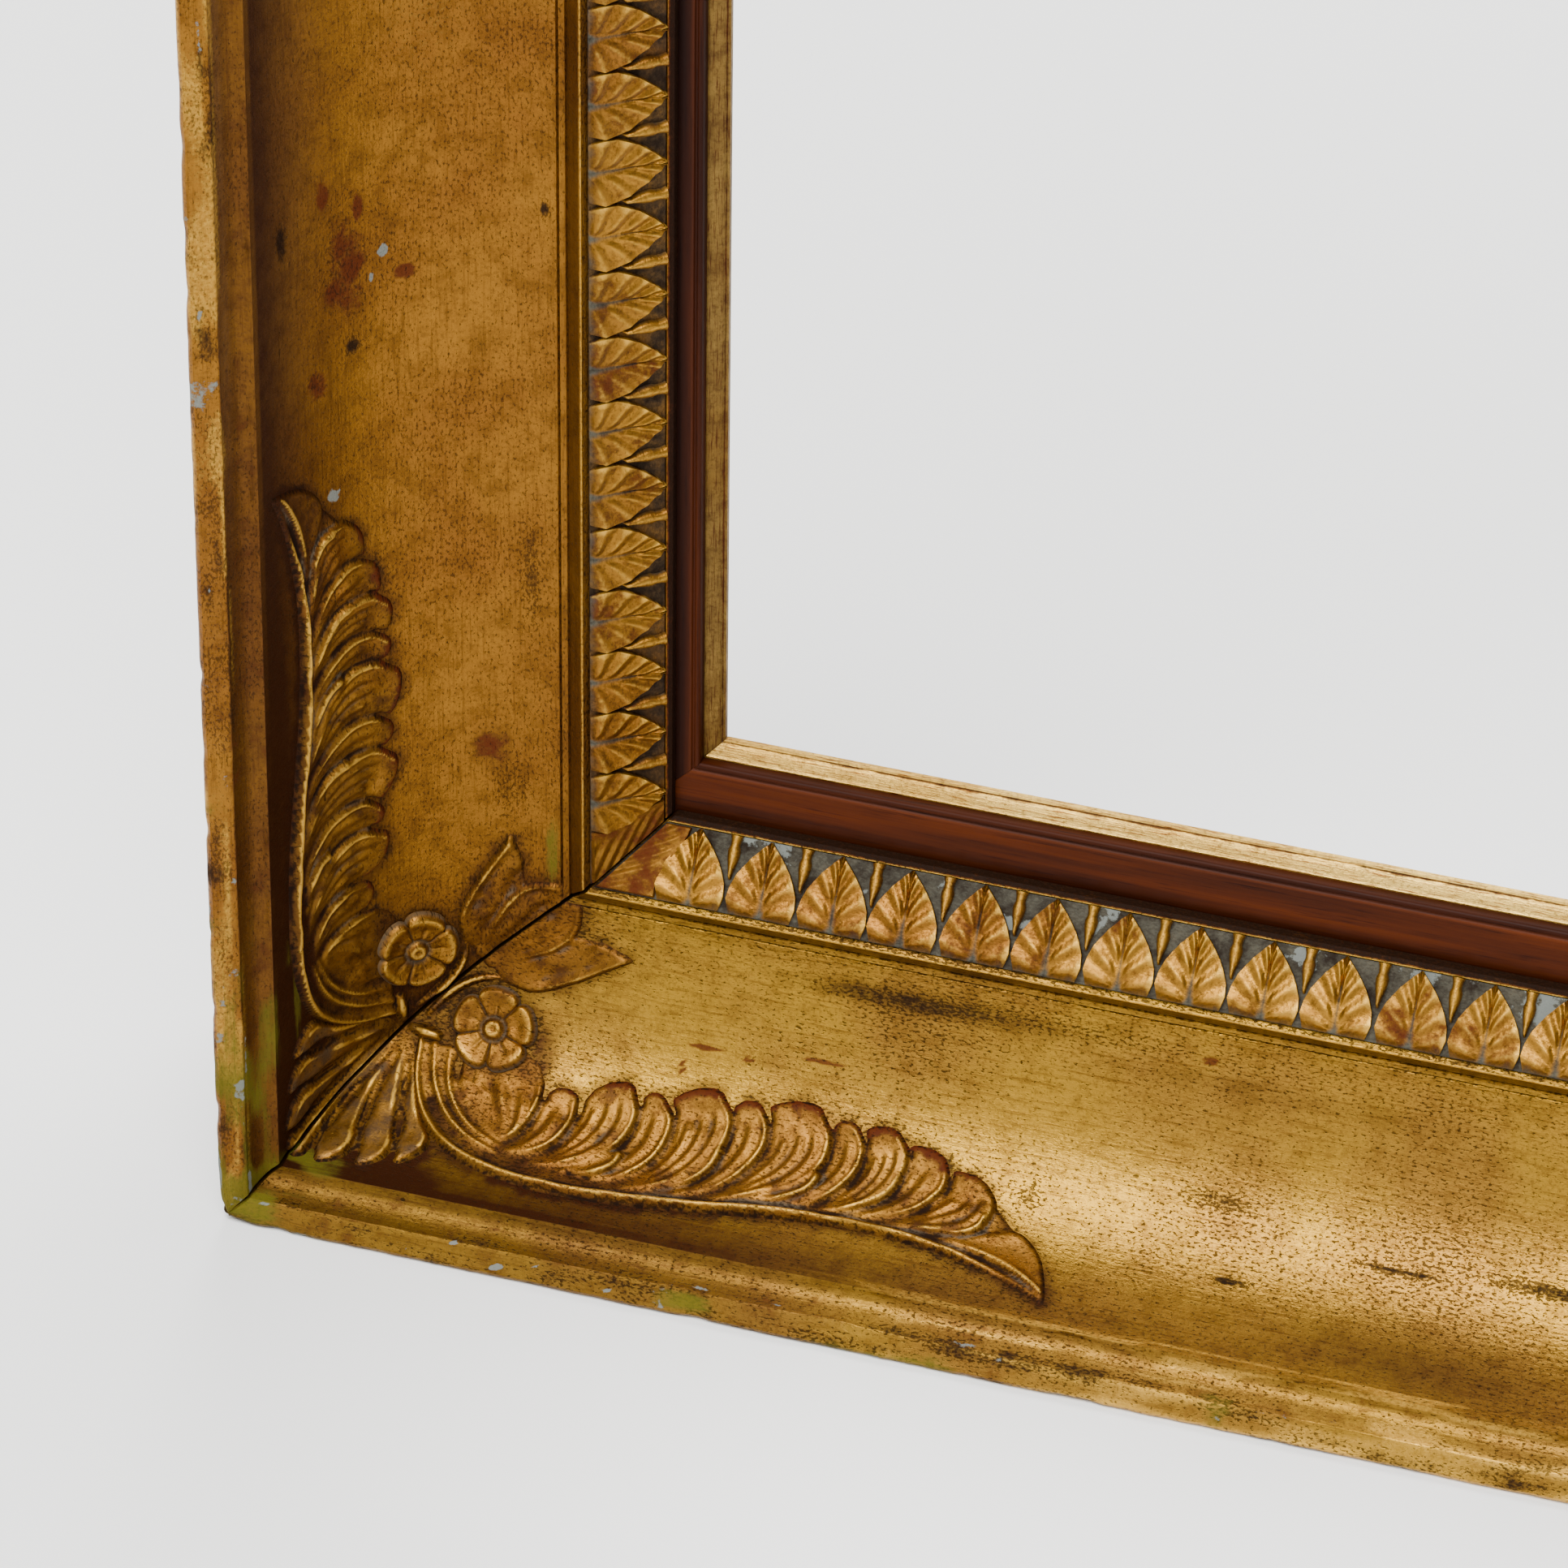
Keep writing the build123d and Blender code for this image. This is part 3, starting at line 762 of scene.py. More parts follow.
@dataclass
class Relief:
    """Height of pressed ornament over a rectangle of the cove.

    Lengths are in millimetres: from the outer corner along the rail, and round the cove from its rim.

    Attributes:
        low: first corner of the rectangle.
        high: opposite corner.
        step: distance between heights.
        bed: height where there is no ornament, below the cove.
        toning: share of brown toning all over.
        foot: height over which the darker foot of the ornament fades out.
        dusty: share of dust all over.
        near_side: height of a lobe at its near edge, as a share of that at its crest.
        crest_bead: height of the bead along a crest.
        flute_depth: half the depth of the flutes.
    """

    low: tuple[float, float]
    high: tuple[float, float]
    step: float = 0.5
    bed: float = -0.7
    toning: float = 0.0
    foot: float = 0.8
    dusty: float = 0.2
    near_side: float = 0.54
    crest_bead: float = 0.36
    flute_depth: float = 0.3

    def __post_init__(self) -> None:
        """Lays out the heights."""
        self.columns = round((self.high[0] - self.low[0]) / self.step)
        self.rows = round((self.high[1] - self.low[1]) / self.step)
        along = np.linspace(self.low[0], self.high[0], self.columns + 1)
        span = np.linspace(self.low[1], self.high[1], self.rows + 1)
        self.along, self.span = np.meshgrid(along, span, indexing="ij")
        self.height = np.full(self.along.shape, self.bed)
        self.bole = np.zeros(self.along.shape)
        self.lift = np.zeros(self.along.shape)

    def gap(self, path: Array) -> tuple[Array, Array]:
        """Distance to a path.

        Args:
            path: places along it.

        Returns:
            Distances, and how far along the path the nearest place is, as a share.
        """
        best = np.full(self.along.shape, 1e9)
        share = np.zeros(self.along.shape)
        for i, (a, b) in enumerate(zip(path[:-1], path[1:])):
            way = b - a
            dx, dy = self.along - a[0], self.span - a[1]
            t = np.clip((dx * way[0] + dy * way[1]) / max(way @ way, 1e-9), 0, 1)
            far = (dx - t * way[0]) ** 2 + (dy - t * way[1]) ** 2
            share = np.where(far < best, (i + t) / (len(path) - 1), share)
            best = np.minimum(best, far)
        return np.sqrt(best), share

    def within(self, outline: Array) -> Array:
        """Distance to the edge of an outline.

        Args:
            outline: places along it, in order.

        Returns:
            Distances, below zero outside it.
        """
        ring = np.concatenate([outline, outline[:1]])
        inside = np.zeros(self.along.shape, bool)
        for a, b in zip(ring[:-1], ring[1:]):
            if a[1] == b[1]:
                continue
            crosses = (a[1] > self.span) != (b[1] > self.span)
            inside ^= crosses & (self.along < (b[0] - a[0]) * (self.span - a[1]) / (b[1] - a[1]) + a[0])
        return np.where(inside, 1, -1) * self.gap(ring)[0]

    def rise(self, height: Array) -> None:
        """Keeps the higher of two surfaces."""
        self.height = np.maximum(self.height, height)

    def plate(self, outline: Points, height: float) -> None:
        """Raises the flat ground under the lobes."""
        edge = ease(-0.8, 0.8, self.within(drawn(outline, 80)))
        self.rise(edge * (height - self.bed) + self.bed)

    def lobe(self, near: Points, foot: Points, far: Points, heights: Sequence[float], flutes: int) -> None:
        """Raises one lobe that climbs to a crest along its far edge.

        Args:
            near: edge on the corner's side, from root to foot.
            foot: rounded end, from the near edge to the far one.
            far: the other edge, from root to foot.
            heights: heights from the root to the foot, evenly spaced.
            flutes: hollows along it.
        """
        a, b = drawn(near), drawn(far)
        ring = np.concatenate([a, np.asarray(foot, float).reshape(-1, 2), b[::-1]])
        edge = self.within(ring)
        if edge.max() <= 0:
            return
        left, _ = self.gap(a)
        right, share = self.gap(b)
        across = left / np.maximum(left + right, 1e-6)
        form = np.interp(share, np.linspace(0, 1, len(heights)), heights)
        form *= self.near_side + (1 - self.near_side) * across**1.5
        form += self.crest_bead * bell(right - 0.7, 0.55) * ease(0.1, 0.4, share)
        if flutes:
            fade = ease(0.08, 0.35, share) * (1 - ease(0.82, 1.0, share))
            form += self.flute_depth * fade * np.cos(2 * math.pi * flutes * across)
        edge = ease(-0.45, 0.95, edge)
        self.rise(edge * (form - self.bed) + self.bed)

    def stem(self, path: Points, widths: Sequence[float], heights: Sequence[float]) -> None:
        """Raises a round stem.

        Args:
            path: its middle.
            widths: widths from start to end, evenly spaced.
            heights: heights from start to end.
        """
        gap, share = self.gap(drawn(path, 90))
        half = 0.75 * np.interp(share, np.linspace(0, 1, len(widths)), widths)
        high = np.interp(share, np.linspace(0, 1, len(heights)), heights)
        form = 0.5 + 0.5 * np.cos(math.pi * np.clip(gap / half, 0, 1))
        self.rise(form * (high - self.bed) + self.bed)

    def groove(self, path: Points, width: float, depth: float) -> None:
        """Presses a groove into what is raised.

        Args:
            path: its middle.
            width: its width.
            depth: its depth.
        """
        gap, share = self.gap(drawn(path, 40))
        cut = depth * bell(gap, width / 2) * ease(0, 0.12, share) * (1 - ease(0.88, 1.0, share))
        self.height = np.where(self.height > 0, np.maximum(self.height - cut, 0.1), self.height)

    def wear(self, depth: float, size: float) -> None:
        """Lowers the relief in patches, so that its edges fray as worn edges do."""
        loss = depth * ease(0.2, 0.9, patchy(self.along, self.span, size, 17))
        self.height = np.where(self.height > 0, np.maximum(self.height - loss, -0.1), self.height)

    def blurred(self, heights: Array, width: float) -> Array:
        """Smooths heights.

        Args:
            heights: one for each place.
            width: distance that they are smoothed over.

        Returns:
            The smooth heights.
        """
        reach = math.ceil(2 * width / self.step)
        weights = bell(np.arange(-reach, reach + 1) * self.step, width)
        weights /= weights.sum()
        for axis in (0, 1):
            padding = [(reach, reach) if i == axis else (0, 0) for i in (0, 1)]
            wide = np.pad(heights, padding, mode="edge")
            size = heights.shape[axis]
            heights = sum(w * np.take(wide, np.arange(k, k + size), axis=axis) for k, w in enumerate(weights))
        return heights

    def soften(self, width: float) -> None:
        """Rounds the relief as casting and gesso do, and finds its ridges and hollows.

        Args:
            width: distance that it is rounded over.
        """
        self.height = self.blurred(self.height, width)
        solid = (self.height > 0.2).astype(float)
        level = self.blurred(self.height * solid, 1.6) / np.maximum(self.blurred(solid, 1.6), 1e-3)
        self.lift = (self.height - level) * solid
        self.slope = np.hypot(*np.gradient(self.height, self.step))

    def skin(self, section: "CoveMoulding", rail: Rail, end: int, u: Array, v: Array) -> Skin:
        """Lays the relief on the cove at one end of a rail.

        Args:
            section: the moulding.
            rail: the side.
            end: -1 or 1.
            u: shares along the rectangle.
            v: shares across it.

        Returns:
            The skin of each vertex.
        """
        i, j = np.rint(u * self.columns).astype(int), np.rint(v * self.rows).astype(int)
        layers = (self.along, self.span, self.height, self.lift, self.slope, self.bole)
        along, span, height, lift, slope, red = (layer[i, j] for layer in layers)
        upright = rail.upright
        uneven = patchy(along, span, 7, 21 + end) - 0.5
        clear = ease(self.foot / 4, self.foot, height)
        # Under the rim, and more on the upright sides, the cove is painted browner as painted shade over its
        # toning.
        under_rim = (0.6 if upright else 0.25) * (1 - ease(6, 30 if upright else 18, span))
        toned = self.toning + under_rim + (0.1 if upright else 0.06)
        return Skin(
            places=section.on_cove(rail, end, along, span, height),
            flats=np.stack([along, span], 1) * MM,
            tone=toned + 0.35 * uneven + 0.6 * (1 - clear) + 0.3 * red,
            dust=(0.95 * ease(0.06, 0.5, -lift) + self.dusty) * clear * (1 - ease(0.7, 1.3, slope)),
            # Crests are brighter as rubbed leaf and as painted highlight, more on the upright sides.
            rub=((0.9 if upright else 0.72) - self.toning) * ease(0.08, 0.42, lift),
            bole=0.5 * red + 0.3 * uneven,
            stain=0.46 * ease(0.08, 0.5, -lift) + 0.28 * (1 - clear),
            seen=height > -0.5,
        )


@dataclass(frozen=True)
class CornerOrnament:
    """Pressed composition at one end of a rail, laid on the cove; lengths as in Relief.

    A lobe, rib or leaf is given by its near edge, the end of its foot and its far edge.

    Attributes:
        rosette: middle of the rosette.
        rosette_radius: its radius.
        rosette_height: its height.
        petals: number of its petals.
        lobe_shift: how far the spray is moved round the cove, to the middle of what both rails measure.
        lobe_gap: gap from one lobe of the spray to the next.
        lobe_heights: heights of a small and of a large lobe, from root to foot.
        stem_path: middle of the spray's stem.
        veins: two fine stems beside it, each with widths and heights.
        belly: outer edge of the ground under the lobes.
        shoulder: near edge and foot of the first lobe.
        crests: far edges of the lobes.
        feet: rounded ends of the lobes after the first.
        curls: near and far edges of the leaflets that curl over large lobes.
        tail: last lobe.
        fan_ground: outline of the ground under the fan.
        fan_ribs: ribs of half the fan.
        sprig_leaves: leaves of half the sprigs, each with its heights and flutes.
    """

    rosette: tuple[float, float] = (49.3, 45.2)
    rosette_radius: float = 10.1
    rosette_height: float = 2.7
    petals: int = 5
    lobe_shift: float = 1.8
    lobe_gap: float = 0.6
    lobe_heights: tuple[Sequence[float], Sequence[float]] = ((0.9, 1.6, 1.9, 1.4), (0.9, 1.8, 2.3, 1.7))
    stem_path: Points = (
        (33, 38), (34, 30), (37, 23), (41.5, 17.5), (47, 13.6), (55, 10.6), (65, 8.8), (80, 8.6),
        (95, 9.9), (110, 12.2), (125, 14.4), (140, 15.2), (155, 14.8), (165, 13.3), (175, 10.6),
        (183, 7.6), (188.5, 4.6),
    )
    veins: Sequence[tuple[Points, Sequence[float], Sequence[float]]] = (
        (((36.2, 38), (38.4, 29.6), (42.6, 22.8), (48.6, 18.0), (57, 14.8)),
         (1.3, 1.8, 1.6, 1.0), (1.2, 1.8, 2.0, 1.4)),
        (((40.2, 37.6), (41.4, 30.4), (44.6, 24.6), (50, 19.8), (57.4, 16.6)),
         (1.1, 1.7, 1.6, 1.0), (1.0, 1.6, 1.8, 1.4)),
    )
    belly: Points = (
        (187.4, 7), (180, 19), (169, 28), (157, 32), (147, 35), (138, 35), (128, 37), (117, 35), (106, 36),
        (95, 32), (84, 33), (73, 28), (64, 30), (42, 33), (43, 38),
    )
    shoulder: tuple[Points, Points] = (
        ((57.5, 17.4), (50.5, 20.6), (45.8, 25.4), (43.6, 31), (43, 38)), ((47, 43), (55, 42), (62, 37.5)),
    )
    crests: Sequence[Points] = (
        ((56, 16.3), (61, 20.2), (63.3, 26), (63.9, 33.5)),
        ((56, 14.4), (65, 16), (71, 21.5), (72.6, 27), (72.4, 31.5)),
        ((64, 12.4), (74, 14.8), (82, 19.5), (86, 26), (86.6, 31), (84.5, 36.4)),
        ((76, 11), (86, 14), (92.5, 20), (95, 27), (94.8, 31.5), (91.8, 35.8)),
        ((86, 10.8), (98, 14.8), (105.5, 22), (108.3, 29), (107.8, 35), (105, 39)),
        ((96, 11.4), (107, 15.6), (114, 22.5), (117, 29.5), (116.4, 35), (114, 38.6)),
        ((104, 12.2), (117, 16.4), (127.5, 22.5), (131.4, 29), (131.2, 35), (128, 40)),
        ((120, 14.8), (130, 17.6), (136.5, 23.5), (139.3, 30), (138.6, 35.5), (136.8, 38.2)),
        ((128, 15.6), (140, 18.4), (146.5, 23.5), (149.6, 30), (149.2, 35), (146.8, 38.2)),
        ((137, 16.4), (148, 18.6), (155.5, 22.8), (159.4, 28.5), (159, 33), (157.8, 35)),
        ((148, 16.6), (160, 17.0), (167.5, 18.4), (171, 23), (171.4, 27.5), (169, 30.6)),
    )
    feet: Sequence[Points] = (
        ((64.8, 32), (66.6, 33.6), (69.4, 33.9), (71.6, 32.9)),
        ((73.4, 31.8), (75.2, 34.9), (78.4, 37.1), (82, 37.9), (84.2, 37.2)),
        ((86.4, 35.2), (88.2, 36.8), (90.2, 36.9)),
        ((93, 36), (95.2, 38), (98.6, 39.8), (102.2, 40.4), (104.6, 39.7)),
        ((107.2, 37.2), (109.4, 39.2), (112.2, 39.6)),
        ((115.2, 38.8), (117.6, 40.2), (121.6, 41.4), (125.4, 41.6), (127.6, 40.8)),
        ((130.6, 37.6), (132.6, 39.2), (135.2, 39.3)),
        ((138, 38.2), (140.4, 39.5), (143.8, 39.8), (146, 39)),
        ((148.6, 36.6), (151, 37.2), (154.6, 37), (156.8, 36)),
        ((159.2, 33.4), (161.8, 33.4), (165.4, 32.9), (168, 31.6)),
    )
    curls: Sequence[tuple[Points, Points]] = (
        (((69, 13.4), (76, 16.6), (82, 20.8)), ((73, 12.4), (80, 13.2), (85, 16.8), (86.4, 20.4))),
        (((93, 13.4), (100, 18.6), (104.6, 25.4)), ((96, 13.2), (102, 16.4), (106.8, 22), (108.2, 26.6))),
        (((114, 15.6), (121, 20.0), (127.5, 25.6)), ((117, 15.4), (124.5, 17.4), (130, 21.4), (131.6, 25))),
        (((134, 17.8), (140, 21.2), (145.6, 26)), ((137, 17.4), (143, 20.2), (147.6, 24.2), (149.2, 28))),
        (((155, 17.6), (161, 19.4), (167.4, 24)), ((158, 17), (165, 17.4), (169.6, 20), (171, 23.6))),
    )

    tail: tuple[Points, Points, Points] = (
        ((160, 16.8), (170, 19.6), (178, 22), (183.5, 18), (186.8, 11.5), (188.6, 5)), ((188.6, 4.8),),
        ((160, 15.6), (170, 14.0), (177, 11.8), (182, 9.4), (186, 7), (188.2, 4.8)),
    )
    fan_ground: Points = (
        (28, 43), (20, 33), (14, 20), (12, 8), (18, 7), (26, 9), (34, 11), (39, 15), (35, 26), (32, 38),
    )
    fan_ribs: Sequence[tuple[Points, Points, Points]] = (
        (((27.5, 43), (22, 35), (17, 27), (13.4, 18), (11, 9)), ((11.0, 5), (13.5, 3.6)),
         ((28.8, 41.5), (24.5, 33), (20.2, 25), (17.4, 17), (16.2, 10), (15.6, 5))),
        (((29, 41), (25.5, 33), (21.6, 25), (18.8, 17), (17.4, 9)),
         ((17.6, 4.6), (19, 3.4), (22, 4.6)),
         ((29.4, 40.5), (27, 33), (25.0, 25), (24.5, 17), (25.4, 10.5), (24.6, 7.2))),
        (((29.7, 40.5), (28.2, 33), (26.7, 25), (26.4, 17), (27, 9.5)),
         ((26.8, 5.6), (28.4, 5.0), (31.4, 6.6)),
         ((30.2, 40.3), (30.6, 33), (31.6, 25), (32.9, 17), (34.0, 12), (33.4, 9.0))),
        (((30.7, 40), (32.0, 33), (33.2, 25), (34.6, 17), (35.4, 11)),
         ((35.2, 8.4), (37, 8.2), (39.6, 10.4)),
         ((31.4, 39.6), (33.6, 33), (35.9, 26.5), (38.8, 20.5), (41.8, 16), (41.6, 13.4))),
    )
    sprig_leaves: Sequence[tuple[Points, Points, Points, Sequence[float], int]] = (
        (((46, 59), (51, 64), (58, 68.6), (66, 70.6)), ((72, 70.4), (79.2, 67.6)),
         ((49, 56), (56, 55), (65, 58.4), (73, 63.2), (79.2, 66.9)), (0.8, 1.6, 1.5), 2),
        (((43, 60.6), (49, 67.6), (56, 74.6), (62, 79.6)), ((66, 79.4),),
         ((45.5, 58.4), (55, 62.8), (62, 66.6), (66, 71.6), (67, 78)), (0.8, 1.5, 1.4), 2),
        (((38, 57), (45, 66), (53, 75), (59, 80)), ((61, 80),),
         ((42, 59), (50, 66.6), (57, 73.4), (63, 79)), (0.7, 1.0), 0),
    )

    def lower(self, points: Points) -> list[tuple[float, float]]:
        """Moves places of the spray round the cove."""
        return [(s, v + self.lobe_shift) for s, v in points]

    def spray(self) -> Relief:
        """Acanthus spray: stem, belly, lobes in turn large and small, and the tail.

        Returns:
            The relief.
        """
        relief = Relief((29.0, 3.0), (194.0, 47.0), toning=0.12)
        low = self.lower
        relief.plate(low((*self.stem_path, *self.belly)), 0.6)
        relief.lobe(*map(low, (*self.shoulder, self.crests[0])), (1.5, 2.1, 2.0, 0.6), 4)
        for number, foot in enumerate(self.feet):
            near = [(s + self.lobe_gap, v - 0.3) for s, v in self.crests[number][:-1]] + [foot[0]]
            large = number % 2
            edges = map(low, (near, foot[1:], self.crests[number + 1]))
            relief.lobe(*edges, self.lobe_heights[large], 2 + 2 * large)
            bottom, _ = relief.gap(np.array(low(foot)))
            relief.bole = np.maximum(relief.bole, bell(bottom, 2.6))
        for near, far in self.curls:
            tip = [((near[-1][0] + far[-1][0]) / 2 + 0.6, max(near[-1][1], far[-1][1]) + 0.9)]
            relief.lobe(low(near), low(tip), low(far), (1.3, 2.4, 3.0), 1)
        relief.lobe(*map(low, self.tail), (1.5, 2.0), 1)
        widths = (1.8, 2.7, 3.1, 3.1, 3.0, 2.9, 2.7, 2.3, 0.9)
        relief.stem(low(self.stem_path), widths, (1.4, 2.1, 2.6, 2.9, 2.9, 2.8, 2.6, 2.0, 0.8))
        for path, widths, heights in self.veins:
            relief.stem(low(path), widths, heights)
        relief.groove(low([(74, 13.6), (77, 13.0), (80.5, 13.6)]), 1.3, 0.9)
        relief.wear(0.35, 5.0)
        relief.soften(0.5)
        return relief

    def fan(self) -> Relief:
        """Half of the ribbed fan that spreads to the outer corner, with its collar and a scroll.

        Returns:
            The relief.
        """
        relief = Relief((9.0, 1.0), (54.0, 60.0), toning=-0.2, dusty=0.45)
        relief.plate(self.fan_ground, 0.4)
        for rib in self.fan_ribs:
            relief.lobe(*rib, (1.2, 2.3), 0)
        relief.stem([(30.2, 42.2), (33.4, 41.6), (36.6, 41.2)], (2.6, 4.0, 2.8), (1.2, 2.2, 1.6))
        scroll = [(33, 45.5), (36, 49.6), (39.5, 53.4), (44, 56.2), (50, 57.2)]
        relief.stem(scroll, (1.6, 2.6, 2.2, 1.3), (1.3, 2.0, 1.8, 1.0))
        relief.wear(0.5, 4.0)
        relief.soften(0.65)
        return relief

    def sprigs(self) -> Relief:
        """Leaf beyond the rosette, the leaf under it, and half of the leaf that lies along the mitre.

        Returns:
            The relief.
        """
        relief = Relief((36.0, 52.0), (82.0, 80.5), toning=0.22, foot=0.3)
        for leaf in self.sprig_leaves:
            relief.lobe(*leaf)
        relief.wear(0.4, 4.0)
        relief.soften(0.55)
        return relief


@dataclass(frozen=True)
class CoveMoulding:
    """Section of the gilded moulding, in millimetres: inward from the outer edge, forward from the back.

    Attributes:
        base: where the wood of the moulding starts.
        depth: top of the rim.
        rim_round: radius of the rim's outer edge.
        rim: inner edge of the rim.
        cavetto: foot of the small hollow inside the rim.
        cove_radius: radius of the cove.
        cove_centre: its middle line.
        groove: width and depth of an incised line.
        groove_step: distance between the two lines.
        arris: crest beyond the lines.
        arris_width: width of its flat top.
        bed_high: upper edge of the leaf strip's bed.
        bed_low: lower edge of the bed.
        bead: outer edge of the sight lip.
        lip: inner edge of the sight lip.
        mitre_gap: width of an open mitre.
    """

    base: float = 20.0
    depth: float = 92.0
    rim_round: float = 1.5
    rim: tuple[float, float] = (6.4, 89.7)
    cavetto: tuple[float, float] = (10.4, 82.7)
    cove_radius: float = 50.0
    cove_centre: tuple[float, float] = (61.5, 82.4)
    groove: tuple[float, float] = (0.7, 0.5)
    groove_step: float = 2.0
    arris: tuple[float, float] = (67.4, 34.7)
    arris_width: float = 0.6
    bed_high: tuple[float, float] = (69.0, 32.9)
    bed_low: tuple[float, float] = (83.0, 21.7)
    bead: tuple[float, float] = (83.0, 23.3)
    lip: tuple[float, float] = (84.5, 22.9)
    mitre_gap: float = 0.9

    # Zones that wear alike: first and last place inward, then first and last place forward.
    ZONES = {
        "rim": (-1.0, 6.6, 87.0, 99.0),
        "step": (6.2, 11.6, 80.0, 99.0),
        "outer": (-1.0, 13.0, -1.0, 99.0),
        "outside": (-1.0, 0.5, -1.0, 80.0),
        "lines": (61.4, 64.4, -1.0, 32.2),
        "rise": (63.0, 66.8, 31.0, 99.0),
        "crest": (67.3, 67.9, -1.0, 99.0),
        "bed_edge": (67.9, 70.0, -1.0, 34.5),
        "lip": (83.2, 83.5, -1.0, 99.0),
        "sight_wall": (83.7, 99.0, -1.0, 99.0),
    }

    @property
    def end_gap(self) -> float:
        """Length along the rail that the open mitre takes from its end."""
        return self.mitre_gap / math.sqrt(2)

    def zones(self, inward: Array, forward: Array) -> dict[str, Array]:
        """Sorts places on the surface into zones.

        Args:
            inward: from the outer edge.
            forward: from the back.

        Returns:
            For each zone, which places lie in it.
        """
        return {
            name: (inward > first) & (inward < last) & (forward > low) & (forward < high)
            for name, (first, last, low, high) in self.ZONES.items()
        }

    def outline(self) -> tuple[Array, Array]:
        """Points of the section, from the outer back edge round and back to it.

        Returns:
            The points, and for each the length round the cove, below zero outside it.
        """
        points: list[tuple[float, float]] = []
        spans: list[float] = []

        def run(places: Iterable[tuple[float, float]], on_cove: Iterable[float] | None = None) -> None:
            """Adds places to the outline.

            Args:
                places: what is added.
                on_cove: their lengths round the cove; none if they are not on it.
            """
            placed = list(places)
            points.extend(placed)
            spans.extend(on_cove if on_cove is not None else [-1.0] * len(placed))

        top, turn = self.depth, np.radians([165, 140, 115, 90])
        run([(0, self.base), (0, 40), (0, 60), (0, 78), (0, 86), (0, 88.5), (0, top - self.rim_round)])
        run([(self.rim_round * (1 + math.cos(a)), top - self.rim_round * (1 - math.sin(a))) for a in turn])
        edge, high = self.rim
        run([(3.0, 91.25), (4.8, 90.4), (edge - 0.3, high + 0.1), (edge, high - 0.2)])
        wide, deep = self.cavetto[0] - edge, high - self.cavetto[1]
        for a in np.radians([12, 28, 45, 62, 78, 90]):
            run([(self.cavetto[0] - wide * math.cos(a), high - deep * math.sin(a))])
        cx, cy = self.cove_centre
        radius = self.cove_radius
        run([(cx - radius - 0.15, cy + 0.05)])
        angles = np.radians(np.linspace(0, 90, 80))
        arc = [(cx - radius * math.cos(a), cy - radius * math.sin(a)) for a in angles]
        run(arc, [radius * a for a in angles])
        width, deep = self.groove
        floor, end = cy - radius, radius * math.pi / 2
        for start in (cx, cx + self.groove_step):
            line = [(start + 0.05, floor), (start + width / 2, floor - deep), (start + width, floor)]
            run(line, [end + place[0] - cx for place in line])
        first, high = self.arris
        rise = [(65.0, 33.0), (66.5, 34.05), (first - 0.25, high - 0.1), (first + 0.1, high)]
        run(rise, [end + place[0] - cx for place in rise])
        last = first + self.arris_width
        run([(last - 0.15, high), (last, high - 0.3), self.bed_high, self.bed_low])
        run([(self.bead[0], self.bead[1] - 0.3), (self.bead[0] + 0.3, self.bead[1])])
        edge, high = self.lip
        run([(edge - 0.6, high + 0.1), (edge, high - 0.5), (edge, self.base), (0, self.base)])
        return np.array(points), np.array(spans)

    def on_cove(self, rail: Rail, end: int, along: Values, span: Values, height: Values) -> Array:
        """Places on or above the cove.

        Args:
            rail: the side.
            end: -1 or 1, the end whose corner lengths start from.
            along: length from the outer corner.
            span: length round the cove from its rim.
            height: how far above the surface.

        Returns:
            Places in metres.
        """
        turn = span / self.cove_radius
        radius = self.cove_radius - height
        inward = self.cove_centre[0] - radius * np.cos(turn)
        forward = self.cove_centre[1] - radius * np.sin(turn)
        return rail.place(end * (rail.half - along), inward, forward)

    def away(self, rail: Rail, place: Array) -> Array:
        """Direction from a place to the middle line of the cove."""
        gap = rail.place(0.0, *self.cove_centre) - place
        return gap - rail.run * np.dot(gap, rail.run)

    def mitre(self, rail: Rail, end: int) -> tuple[Array, Array]:
        """Plane of the mitre at one end.

        Args:
            rail: the side.
            end: -1 or 1.

        Returns:
            A point on the plane, and its normal, which points out of the rail.
        """
        normal = (rail.run * end + rail.inward) / math.sqrt(2)
        return rail.place(end * rail.half, 0.0, 0.0) - normal * self.mitre_gap / 2 * MM, normal


@dataclass(frozen=True)
class Mark:
    """A stain, loss or patch that the cove or the rim of a rail carries at one place.

    Attributes:
        along: middle, from the outer corner.
        span: middle, round the cove; on the rim, minus one less the length over it.
        reach: half sizes along and round.
        kind: which share of the skin it raises.
        depth: how much.
    """

    along: float
    span: float
    reach: tuple[float, float]
    kind: str
    depth: float


